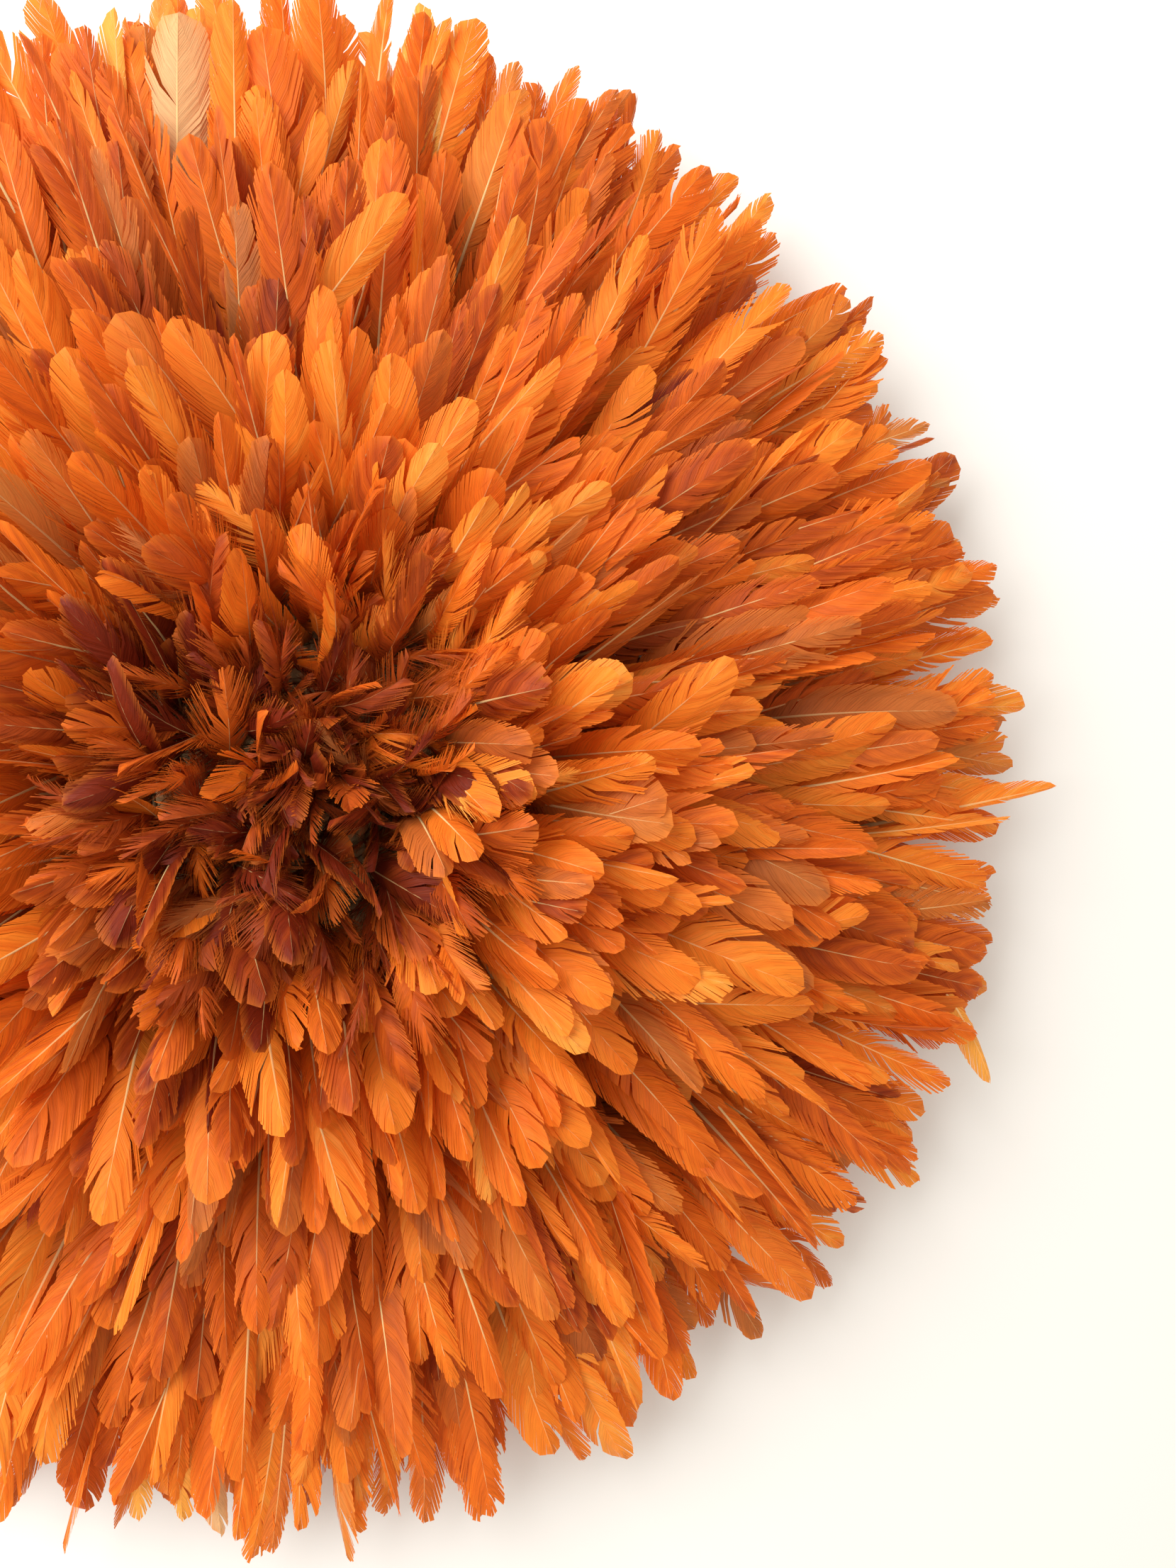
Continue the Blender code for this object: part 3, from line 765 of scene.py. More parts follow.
def pixel_of(stage, place):
    """The pixel of the photograph's frame that shows a place."""
    away = np.subtract(place, stage.camera_place)
    turn_cos, turn_sin = math.cos(stage.camera_turn), math.sin(stage.camera_turn)
    ahead = away @ (turn_sin, 0.0, -turn_cos)
    across = away @ (turn_cos, 0.0, turn_sin)
    return (
        PHOTO_WIDTH / 2 + stage.focal_pixels * across / ahead,
        PHOTO_HEIGHT / 2 - stage.focal_pixels * away[1] / ahead,
    )


def patched(stage, place):
    """The sums of the patches' dye and length at a feather's tip."""
    x, y = pixel_of(stage, place)
    dye, length = 0.0, 0.0
    for patch in PATCHES:
        share = math.exp(-((x - patch.x) ** 2 + (y - patch.y) ** 2) / patch.reach**2)
        dye += patch.dye * share
        length += patch.length * share
    return dye, length


def scatter_ring(bunch, rng, ring, settings, stage):
    """Adds one ring's feathers to the bunch, evenly spaced and then strayed."""
    count = max(FEWEST, round(math.tau * ring_ends(ring.row)[2] / ring.spacing))
    start = rng.uniform(0.0, math.tau)
    swell = 1.0 + SWELL * drift(rng, count, max(3, count // 5))
    for i in range(count):
        row = ring.row + rng.normal(0.0, ROW_STRAY)
        root_radius, root_height, tip_radius, tip_height = ring_ends(row)
        chord = math.hypot(tip_radius - root_radius, tip_height - root_height)
        slope = math.atan2(tip_height - root_height, tip_radius - root_radius)
        kind = KINDS[ring.kinds[rng.integers(len(ring.kinds))]]
        bearing = start + math.tau * (i + rng.normal(0.0, BEARING_STRAY)) / count
        tip = (tip_radius * math.cos(bearing), tip_radius * math.sin(bearing), tip_height)
        patch_dye, patch_length = patched(stage, tip)
        share = rng.uniform(ring.shortest, ring.longest) * swell[i]
        length = chord * (min(share, ring.longest) + patch_length) * settings.length_scale
        bow = math.radians(ring.bow * rng.uniform(LEAST_BOW, MOST_BOW))
        lean = rng.normal(0.0, ring.roll / 2)
        if rng.random() < LEANING:
            lean += rng.choice((-1.0, 1.0)) * rng.uniform(LEAST_LEAN, MOST_LEAN)
        veer = math.radians(rng.normal(0.0, ring.veer / 2))
        pose = Pose(
            root=(root_radius * math.cos(veer), root_height + rng.uniform(0.0, TIE_HEIGHT)),
            aside=-root_radius * math.sin(veer),
            bearing=bearing + veer,
            slope=slope + bow / 2 + math.radians(rng.normal(0.0, ring.lift / 2)),
            bow=bow,
            curl=math.radians(kind.curl * rng.uniform(LEAST_CURL, MOST_CURL)),
            heading=math.radians(rng.normal(0.0, ring.heading / 2)),
            sweep=math.radians(rng.normal(0.0, ring.heading / 2)),
            roll=math.radians(lean),
            twist=math.radians(rng.normal(0.0, ring.roll / 2)),
        )
        dye = ring.dullest + (ring.brightest - ring.dullest) * rng.uniform() ** ring.darkness + patch_dye
        if rng.random() < DULL_SHARE:
            dye -= DULLER
        pale = 0.0
        if rng.random() < PALE_SHARE + PALER_OUT * ring.dullest:
            pale = rng.uniform(LEAST_PALE, MOST_PALE)
        breadth = kind.breadth * rng.uniform(NARROWEST, BROADEST)
        add_feather(bunch, rng, kind, length, breadth, pose, dye, pale)


def pixel_point(stage, x, y, height):
    """Where the camera's ray through a pixel of the photograph's frame meets that height."""
    across = (x - PHOTO_WIDTH / 2) / stage.focal_pixels
    up = (PHOTO_HEIGHT / 2 - y) / stage.focal_pixels
    turn_cos, turn_sin = math.cos(stage.camera_turn), math.sin(stage.camera_turn)
    way = np.array((across * turn_cos + turn_sin, up, across * turn_sin - turn_cos))
    start = np.array(stage.camera_place)
    return start + way * (height - start[2]) / way[2]


def row_at_tip(radius):
    """The row whose tips reach that far from the axis."""
    return float(np.interp(radius, ROW_ENDS[:, 2], ROW_NUMBERS))


FIRST_HEIGHT = 0.1  # where the search for a tip's height starts
SHOWN_AT = 0.78  # how far along a feather the stretch lies that shows
STANDOUT_CURL = 0.1  # radians
STANDOUT_LEAN = 12.0  # degrees, to either side
TIP_ROUNDS, BASE_ROUNDS = 12, 4  # rounds of the search for a standout's tip and base


def standout_tip(stage, standout):
    """The tip of a feather that stands out, and its row."""
    height = FIRST_HEIGHT
    for _ in range(TIP_ROUNDS):
        tip = pixel_point(stage, standout.tip_x, standout.tip_y, height)
        row = row_at_tip(math.hypot(tip[0], tip[1]))
        height = ring_ends(row)[3] + standout.lift
    return tip, row


def add_standout(bunch, rng, stage, standout):
    """Adds a feather whose tip and visible base lie at its pixels, sloping as its ring does."""
    tip, row = standout_tip(stage, standout)
    root_radius, root_height, tip_radius, tip_height = ring_ends(row)
    length = math.hypot(tip_radius - root_radius, tip_height - root_height)
    bow = math.radians(standout.bow)
    slope = math.atan2(tip_height - root_height, tip_radius - root_radius) + (0.5 - SHOWN_AT) * bow
    out = pixel_point(stage, standout.out_x, standout.out_y, tip[2])
    for _ in range(BASE_ROUNDS):
        shown = math.hypot(tip[0] - out[0], tip[1] - out[1])
        out = pixel_point(stage, standout.out_x, standout.out_y, tip[2] - shown * math.tan(slope))
    bearing = math.atan2(tip[1] - out[1], tip[0] - out[0])
    pose = Pose(
        root=(0.0, 0.0),
        bearing=0.0,
        slope=slope + SHOWN_AT * bow,
        bow=bow,
        curl=STANDOUT_CURL,
        heading=-math.radians(standout.sweep) * SHOWN_AT,
        sweep=math.radians(standout.sweep),
        roll=math.radians(rng.uniform(-STANDOUT_LEAN, STANDOUT_LEAN)),
        twist=math.radians(rng.uniform(-STANDOUT_LEAN, STANDOUT_LEAN)),
    )
    reach = set_feather(np.array(((length, 0.0, 0.0),)), length, pose)[0]
    turn_cos, turn_sin = math.cos(bearing), math.sin(bearing)
    pose = pose._replace(
        root=(tip[0] * turn_cos + tip[1] * turn_sin - reach[0], tip[2] - reach[2]),
        aside=tip[1] * turn_cos - tip[0] * turn_sin - reach[1],
        bearing=bearing,
    )
    kind = KINDS[standout.kind]
    add_feather(bunch, rng, kind, length, standout.breadth, pose, standout.dye, standout.pale)


CAP_NODE, RIM_NODE, LOOP_NODE = "raffia_cap", "cap_rim", "hanging_loop"
RIB_NODES = tuple(sorted(name for name in NODES if name.startswith("rib_") and name[4:].isdigit()))
CORD_NODES = ("rib_cord_1", "rib_cord_2")
CAP_BOX, RIM_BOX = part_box(CAP_NODE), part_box(RIM_NODE)
CAP_OUTER = CAP_BOX[1][0]  # its outer half width at the mouth
CAP_SQUARENESS = 2.4  # of the CAD model's dome: 2 is an ellipse
CAP_WALL = 0.0035

FIBRE_MARKS = ("along", "across", "tone")


def walked_along(path):
    """How far along the path each of its points lies."""
    return np.concatenate(((0.0,), np.cumsum(np.linalg.norm(np.diff(path, axis=0), axis=1))))


def unit(vectors):
    """The vectors at a length of one."""
    return vectors / np.linalg.norm(vectors, axis=1, keepdims=True)


def across_path(path, outward, closed):
    """The two directions across the path at each of its points: beside it, and up to outward."""
    before, after = np.roll(path, 1, axis=0), np.roll(path, -1, axis=0)
    if not closed:
        before[0], after[-1] = path[0], path[-1]
    ahead = unit(after - before)
    beside = unit(np.cross(outward, ahead))
    return beside, np.cross(ahead, beside)


def tube(path, outward, wide, thick, sides, closed=False):
    """A tube of oval section along the path: its points, its faces and its marks.

    outward holds a direction for each of the path's points, and thick is measured along it.
    """
    beside, up = across_path(path, outward, closed)
    turns = np.arange(sides) * math.tau / sides
    oval = (
        beside[:, None] * (wide / 2 * np.cos(turns))[None, :, None]
        + up[:, None] * (thick / 2 * np.sin(turns))[None, :, None]
    )
    points = path[:, None] + oval
    corner = np.arange(len(path) * sides).reshape(len(path), sides)
    ahead_of = np.roll(corner, -1, axis=0)
    rows = slice(None) if closed else slice(0, -1)
    near, far = corner[rows], ahead_of[rows]
    faces = np.stack((near, far, np.roll(far, -1, axis=1), np.roll(near, -1, axis=1)), axis=-1)
    along = np.repeat(walked_along(path) * MILLIMETRES, sides)
    across = np.tile(np.arange(sides) / sides, len(path))
    return points.reshape(-1, 3), faces.reshape(-1, 4)[:, ::-1], along, across


def put_tube(gathered, tone, *shape, **closing):
    """Adds a tube to what is gathered, with FIBRE_MARKS."""
    points, faces, along, across = tube(*shape, **closing)
    gathered.put(points, faces, np.column_stack((along, across, np.full(len(points), tone))))


STRAND_OUT = 0.25  # how far a strand lies from the twine's middle, in diameters
STRAND_WIDE, STRAND_THICK, STRAND_SIDES = 0.56, 0.50, 5


def put_twine(gathered, rng, path, outward, diameter, lay, closed=False):
    """Adds two strands twisted round the path, a turn for each lay of its length."""
    walked = walked_along(path)
    whole = walked[-1] + (np.linalg.norm(path[0] - path[-1]) if closed else 0.0)
    turns = max(1, round(whole / lay))
    beside, up = across_path(path, outward, closed)
    for strand in (0.0, math.pi):
        phase = walked / whole * turns * math.tau + strand
        away = beside * np.cos(phase)[:, None] + up * np.sin(phase)[:, None]
        strand_path = path + away * (diameter * STRAND_OUT)
        tone = rng.uniform(0.0, 1.0)
        wide, thick = diameter * STRAND_WIDE, diameter * STRAND_THICK
        put_tube(gathered, tone, strand_path, away, wide, thick, STRAND_SIDES, closed=closed)


def circle(radius, height, steps):
    """A level circle round the axis, and the directions out from it."""
    turns = np.arange(steps) * math.tau / steps
    out = np.stack((np.cos(turns), np.sin(turns), np.zeros(steps)), axis=-1)
    return out * radius + (0.0, 0.0, height), out


DOME_STEPS = 400


def dome(shares, offset):
    """Points (radius, height) and normals of the cap's inner dome, moved out by offset.

    A share runs along the dome from 0 at the crown to 1 at the mouth.
    """
    half, depth = CAP_OUTER - CAP_WALL, CAP_BOX[1][2] - CAP_BOX[0][2] - CAP_WALL
    angles = np.linspace(0.0, math.pi / 2, DOME_STEPS)
    across = np.maximum(np.sin(angles), 0.0) ** (2.0 / CAP_SQUARENESS)
    up = np.maximum(np.cos(angles), 0.0) ** (2.0 / CAP_SQUARENESS)
    power = CAP_SQUARENESS - 1.0
    normals = unit(np.stack((across**power / half, up**power / depth), axis=-1))
    points = np.stack((half * across, CAP_BOX[0][2] + depth * up), axis=-1) + normals * offset
    walked = walked_along(points)
    wanted = np.asarray(shares) * walked[-1]
    where = [np.interp(wanted, walked, column) for column in (*points.T, *normals.T)]
    return np.stack(where[:2], axis=-1), np.stack(where[2:], axis=-1), walked[-1]


def coil_frame(turns, settings):
    """The middle of the cap's coil after so many turns, its outward direction and its pitch."""
    shares = np.clip(np.asarray(turns) / settings.coil_turns, 0.0, 1.0)
    flat, normal, length = dome(shares, CAP_WALL / 2)
    angle = np.asarray(turns) * math.tau
    spin = np.stack((np.cos(angle), np.sin(angle)), axis=-1)
    points = np.column_stack((spin * flat[:, :1], flat[:, 1]))
    outward = np.column_stack((spin * normal[:, :1], normal[:, 1]))
    return points, outward, length / settings.coil_turns


COIL_START = 0.12  # turns from the axis, where the coil's end is tucked in
COIL_STEPS = 64  # points in a turn
COIL_SIDES = 6
COIL_OVERLAP = 1.04  # the turns press on each other
COIL_SPARE = 0.0004  # how much thicker the coil is than the CAD model's wall
COIL_TONE = 0.35
FIRST_STITCH = 0.35  # turns from the axis
FEWEST_STITCHES = 6  # in a turn
STITCH_STRAY = 0.18


def make_coiled_cap(settings):
    """The cap as one long coil of raffia, with the stitches that bind each turn to the last."""
    rng = np.random.default_rng(settings.basket_seed)
    gathered = Gathered(FIBRE_MARKS)
    turns = np.linspace(COIL_START, settings.coil_turns, settings.coil_turns * COIL_STEPS)
    middle, outward, pitch = coil_frame(turns, settings)
    thick = CAP_WALL + COIL_SPARE
    put_tube(gathered, COIL_TONE, middle, outward, pitch * COIL_OVERLAP, thick, COIL_SIDES)
    for turn in range(1, settings.coil_turns + 1):
        radius = float(coil_frame([turn - 0.5], settings)[0][0, :2] @ (-1.0, 0.0))
        count = max(FEWEST_STITCHES, round(math.tau * radius / settings.stitch_spacing))
        strays = rng.uniform(-STITCH_STRAY, STITCH_STRAY, count)
        at = turn - 1.0 + (np.arange(count) + strays) / count
        for spot in at[at > FIRST_STITCH]:
            put_stitch(gathered, rng, spot, thick, settings)
    finish = fibre_material("raffia", settings.raffia_colour)
    return gathered.make("coiled_cap", (CAP_NODE,), "raffia", finish)


STITCH_STEPS = 4
STITCH_ARC = 160.0  # degrees that a stitch goes round the coil
STITCH_STARTS = (-80.0, 100.0)  # degrees, outside and inside
STITCH_STEP = 0.004  # turns, to find the coil's direction
NARROW_STITCH, WIDE_STITCH = 0.8, 1.2  # shares of the stitch's width
LEAST_SLANT, MOST_SLANT = 0.6, 1.4  # widths that a stitch slants by


def put_stitch(gathered, rng, spot, thick, settings):
    """One strip of raffia wound over the coil outside and inside, at that many turns along it."""
    (middle, further), (outward, _), pitch = coil_frame([spot, spot + STITCH_STEP], settings)
    ahead = (further - middle) / np.linalg.norm(further - middle)
    beside = np.cross(outward, ahead)
    half = settings.stitch_width / 2 * rng.uniform(NARROW_STITCH, WIDE_STITCH)
    lean = rng.uniform(LEAST_SLANT, MOST_SLANT) * settings.stitch_width
    tone = rng.uniform(0.0, 1.0)
    for start in STITCH_STARTS:
        turns = np.radians(start + STITCH_ARC * np.arange(STITCH_STEPS + 1) / STITCH_STEPS)
        rise = thick / 2 + settings.stitch_height
        path = (
            middle
            + outward * (rise * np.cos(turns))[:, None]
            + beside * ((pitch / 2 + settings.stitch_height) * np.sin(turns))[:, None]
            + ahead * (lean * np.sin(turns))[:, None]
        )
        edges = np.stack((path - ahead * half, path + ahead * half), axis=1).reshape(-1, 3)
        corner = np.arange(2 * STITCH_STEPS).reshape(-1, 2)
        faces = np.stack((corner[:, 0], corner[:, 1], corner[:, 1] + 2, corner[:, 0] + 2), axis=-1)
        along = np.repeat(np.arange(STITCH_STEPS + 1.0), 2)
        across = np.tile((0.0, 1.0), STITCH_STEPS + 1)
        gathered.put(edges, faces, np.column_stack((along, across, np.full(len(edges), tone))))


RIM_STEPS = 4  # points along each turn of the winding
RIM_SIDES = 14
RIM_SQUARENESS = 2.8  # of the rim's section: 2 is an ellipse
GROOVE_POWER = 0.7  # below 1, the strips are flatter and the grooves narrower
WRAP_SLANT = 0.8  # strip widths that a strip moves on by as it goes round


def make_wound_rim(settings):
    """The roll round the mouth, wound with strips of raffia side by side."""
    inner = float(np.hypot(*mesh_points(RIM_NODE)[:, :2].T).min())
    middle, half_wide = (RIM_BOX[1][0] + inner) / 2, (RIM_BOX[1][0] - inner) / 2
    half_high = (RIM_BOX[1][2] - RIM_BOX[0][2]) / 2
    wraps = round(math.tau * middle / settings.wrap_width)
    steps = wraps * RIM_STEPS
    rng = np.random.default_rng(settings.basket_seed + 1)
    tones = np.repeat(rng.uniform(0.0, 1.0, wraps), RIM_STEPS)
    turn = np.arange(steps)[:, None] * math.tau / steps
    around = np.arange(RIM_SIDES)[None, :] * math.tau / RIM_SIDES
    phase = np.arange(steps)[:, None] / RIM_STEPS
    groove = settings.wrap_relief * (1.0 - np.abs(np.sin(math.pi * phase)) ** GROOVE_POWER)
    power = 2.0 / RIM_SQUARENESS
    out = np.sign(np.cos(around)) * np.abs(np.cos(around)) ** power * (half_wide - groove)
    up = np.sign(np.sin(around)) * np.abs(np.sin(around)) ** power * (half_high - groove)
    slant = settings.wrap_width * WRAP_SLANT * np.sin(around) / middle
    radius = middle + out
    points = np.stack(
        (radius * np.cos(turn + slant), radius * np.sin(turn + slant), RIM_BOX[0][2] + half_high + up),
        axis=-1,
    )
    corner = np.arange(steps * RIM_SIDES).reshape(steps, RIM_SIDES)
    ahead, beside = np.roll(corner, -1, axis=0), np.roll(corner, -1, axis=1)
    faces = np.stack((corner, ahead, np.roll(ahead, -1, axis=1), beside), axis=-1).reshape(-1, 4)
    marks = np.column_stack(
        (
            np.tile(np.arange(RIM_SIDES) * 2.0, steps),
            np.repeat(np.arange(steps) % RIM_STEPS / RIM_STEPS, RIM_SIDES),
            np.repeat(tones, RIM_SIDES),
        )
    )
    gathered = Gathered(FIBRE_MARKS)
    gathered.put(points.reshape(-1, 3), faces, marks)
    finish = fibre_material("raffia_wrap", settings.wrap_colour)
    return gathered.make("wound_rim", (RIM_NODE,), "raffia_wrap", finish)


def cord_ring(node_name):
    """A CAD ring cord's middle radius, height and thickness."""
    low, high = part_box(node_name)
    thick = high[2] - low[2]
    return high[0] - thick / 2, (low[2] + high[2]) / 2, thick


def make_in_twine(gathered, name, nodes, settings):
    """The piece NAME in twine, which stands for those CAD nodes."""
    return gathered.make(name, nodes, "twine", fibre_material("twine", settings.twine_colour))


TWIST_STEPS = 7  # points in each twist of the twine


def make_ring_cords(settings):
    """The two twisted cords that tie the ribs together underneath."""
    for number, node_name in enumerate(CORD_NODES, 1):
        radius, height, thick = cord_ring(node_name)
        rng = np.random.default_rng(settings.basket_seed + 10 + number)
        gathered = Gathered(FIBRE_MARKS)
        turns = round(math.tau * radius / settings.twine_lay)
        path, out = circle(radius, height, turns * TWIST_STEPS)
        put_twine(gathered, rng, path, out, thick, settings.twine_lay, closed=True)
        make_in_twine(gathered, f"ring_cord_{number}", (node_name,), settings)


RIB_WIDE, RIB_THICK = 0.0062, 0.0042  # the CAD model's ribs, with room for the twine
RIB_FOOT = 0.0030  # half the height of a rib at the rim
FOOT_OUT = 0.006  # how far from the cap the inner lashing starts
FOOT_TURNS = 3
FOOT_SPARE = 0.0008
LASHING_SPARE = 0.0004
LASHING_STEPS, LASHING_SIDES = 10, 3
LASHING_SLANTS = (-0.75, 0.75)  # radians across the rib
LASHING_SHIFTS = (-0.6, 0.6)
LASHING_PITCH = 1.2  # thicknesses between two turns
LASHING_STRAY = 0.06  # radians


def rib_bearing(number):
    """The direction that a rib points in."""
    low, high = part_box(RIB_NODES[number])
    return math.atan2(low[1] + high[1], low[0] + high[0])


def make_lashings(settings):
    """Turns of thin twine that bind each rib to the cords, crosswise, and wind its inner end."""
    rng = np.random.default_rng(settings.basket_seed + 20)
    gathered = Gathered(FIBRE_MARKS)
    thin = settings.lashing_diameter
    turns = np.arange(LASHING_STEPS) * math.tau / LASHING_STEPS

    def loop(bearing, radius, height, slant, half_wide, half_high):
        out = np.array((math.cos(bearing), math.sin(bearing), 0.0))
        side = np.array((-out[1], out[0], 0.0))
        level = side * math.cos(slant) + out * math.sin(slant)
        middle = out * radius + (0.0, 0.0, height)
        around = level * np.cos(turns)[:, None] * half_wide + np.outer(np.sin(turns) * half_high, (0, 0, 1))
        tone = rng.uniform(0.0, 1.0)
        put_tube(gathered, tone, middle + around, around, thin, thin, LASHING_SIDES, closed=True)

    for number in range(len(RIB_NODES)):
        bearing = rib_bearing(number)
        for node_name in CORD_NODES:
            radius, height, thick = cord_ring(node_name)
            middle = height + thick / 2 + LASHING_SPARE
            for slant in LASHING_SLANTS:
                for shift in LASHING_SHIFTS:
                    loop(
                        bearing,
                        radius + shift * thin * LASHING_PITCH,
                        middle,
                        slant + rng.uniform(-LASHING_STRAY, LASHING_STRAY),
                        (RIB_WIDE + thin) / 2 / math.cos(slant),
                        (thick + RIB_THICK + thin) / 2,
                    )
        low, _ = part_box(RIB_NODES[number])
        inner = CAP_OUTER + FOOT_OUT
        for turn in range(FOOT_TURNS):
            loop(bearing, inner + turn * thin, low[2] + RIB_FOOT, 0.0, RIB_WIDE / 2 + FOOT_SPARE, RIB_FOOT)
    return make_in_twine(gathered, "rib_lashings", (), settings)


QUILL_CORD = 0.0026  # thickness
QUILL_CORD_RISE = 0.0014  # its height over the quills' roots
QUILL_CORD_STEPS, QUILL_CORD_SIDES = 80, 4


def make_quill_cords(settings):
    """The cords that each ring's quills are tied to, on the cap and over the ribs."""
    gathered = Gathered(FIBRE_MARKS)
    rings = CROWN_RINGS + LONG_RINGS + OUTER_RINGS + EDGE_RINGS
    for ring in rings:
        if ring.row >= 0.0:
            radius, height, _, _ = ring_ends(ring.row)
            path, out = circle(radius, height + QUILL_CORD_RISE, QUILL_CORD_STEPS)
            sizes = (QUILL_CORD, QUILL_CORD, QUILL_CORD_SIDES)
            put_tube(gathered, ring.row % 1.0, path, out, *sizes, closed=True)
    return make_in_twine(gathered, "quill_cords", (), settings)


LOOP_ARC_POINTS = 25
LOOP_LEG_POINTS = 8
LOOP_LAY = 0.7  # the loop's twist is shorter than the cords'


def make_twine_loop(settings):
    """The loop of twine at the rim, along the CAD loop's route."""
    low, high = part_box(LOOP_NODE)
    thick = high[2] - low[2]
    half = (high[0] - low[0] - thick) / 2
    height = (low[2] + high[2]) / 2
    shoulder = high[1] - thick / 2 - half
    turns = np.linspace(math.pi, 0.0, LOOP_ARC_POINTS)
    arc = np.stack((half * np.cos(turns), shoulder + half * np.sin(turns)), axis=-1)
    leg = np.linspace(low[1], shoulder, LOOP_LEG_POINTS + 1)[:-1]
    left = np.stack((np.full(LOOP_LEG_POINTS, -half), leg), axis=-1)
    route = np.concatenate((left, arc, left[::-1] * (-1.0, 1.0)))
    path = np.column_stack((route, np.full(len(route), height)))
    gathered = Gathered(FIBRE_MARKS)
    rng = np.random.default_rng(settings.basket_seed + 30)
    up = np.tile((0.0, 0.0, 1.0), (len(path), 1))
    put_twine(gathered, rng, path, up, thick, settings.twine_lay * LOOP_LAY)
    return make_in_twine(gathered, "twine_loop", (LOOP_NODE,), settings)


def dress_ribs(settings):
    """Gives the CAD model's ribs the finish of split cane."""
    finish = cane_finish(settings.cane_colour)
    for name in RIB_NODES:
        NODES[name].data.materials.clear()
        NODES[name].data.materials.append(finish)


def node(tree, kind, **values):
    """A shader node with its settings, and with its inputs by name."""
    made = tree.nodes.new(kind)
    for name, value in values.items():
        if name in made.inputs:
            made.inputs[name].default_value = value
        else:
            setattr(made, name, value)
    return made


def new_finish(name):
    """An empty material and its node tree, with an output."""
    finish = bpy.data.materials.new(name)
    finish.use_nodes = True
    finish.node_tree.nodes.clear()
    return finish, finish.node_tree, finish.node_tree.nodes.new("ShaderNodeOutputMaterial")


def mark(tree, name):
    """The value of a mark that the mesh's points hold."""
    return node(tree, "ShaderNodeAttribute", attribute_name=name).outputs["Fac"]


def ramp(tree, value, stops):
    """A colour ramp over value. stops are (place, colour or grey)."""
    made = tree.nodes.new("ShaderNodeValToRGB")
    elements = made.color_ramp.elements
    while len(elements) < len(stops):
        elements.new(0.5)
    for element, (place, colour) in zip(elements, stops):
        element.position = place
        element.color = (*colour, 1.0) if hasattr(colour, "__len__") else (colour,) * 3 + (1.0,)
    tree.links.new(value, made.inputs["Fac"])
    return made.outputs["Color"]


def blend(tree, share, first, second, how="MIX"):
    """Mixes two colours, sockets or fixed ones, by a share that is a socket or a number."""
    made = tree.nodes.new("ShaderNodeMix")
    made.data_type, made.blend_type = "RGBA", how
    for name, value in (("Factor", share), ("A", first), ("B", second)):
        sockets = [socket for socket in made.inputs if socket.name == name and socket.enabled]
        if hasattr(value, "is_output"):
            tree.links.new(value, sockets[0])
        elif hasattr(value, "__len__"):
            sockets[0].default_value = (*value, 1.0)
        else:
            sockets[0].default_value = value
    return next(socket for socket in made.outputs if socket.enabled)


def sums(tree, how, first, second):
    """A math node over sockets or numbers."""
    made = tree.nodes.new("ShaderNodeMath")
    made.operation = how
    for i, value in enumerate((first, second)):
        if hasattr(value, "is_output"):
            tree.links.new(value, made.inputs[i])
        else:
            made.inputs[i].default_value = value
    return made.outputs[0]


def noise(tree, x, y, z=None, **values):
    """A noise texture over coordinates that are sockets."""
    place = tree.nodes.new("ShaderNodeCombineXYZ")
    for axis, value in zip("XYZ", (x, y, z)):
        if value is not None:
            tree.links.new(value, place.inputs[axis])
    made = node(tree, "ShaderNodeTexNoise", **values)
    tree.links.new(place.outputs[0], made.inputs["Vector"])
    return made.outputs["Fac"]


RELIEF_DEPTH = 0.0004


def rough_surface(tree, colour, height, relief, roughness, specular):
    """A surface of that colour with a fine relief, and the relief's node."""
    bump = node(tree, "ShaderNodeBump", Strength=relief, Distance=RELIEF_DEPTH)
    tree.links.new(height, bump.inputs["Height"])
    made = node(tree, "ShaderNodeBsdfPrincipled", Roughness=roughness)
    made.inputs["Specular IOR Level"].default_value = specular
    tree.links.new(colour, made.inputs["Base Color"])
    tree.links.new(bump.outputs["Normal"], made.inputs["Normal"])
    return made, bump


STREAKS_ALONG, STREAKS_OUT = 1.1, 1.2  # noise units in a millimetre along the shaft, and in a barb's length
CLOUDING = 0.40  # how far the dye drifts over a feather
DYE_SPAN = 0.75  # the ramp's length for a dye of one
LIGHT_THROUGH = 0.31  # share of the light that passes through a vane


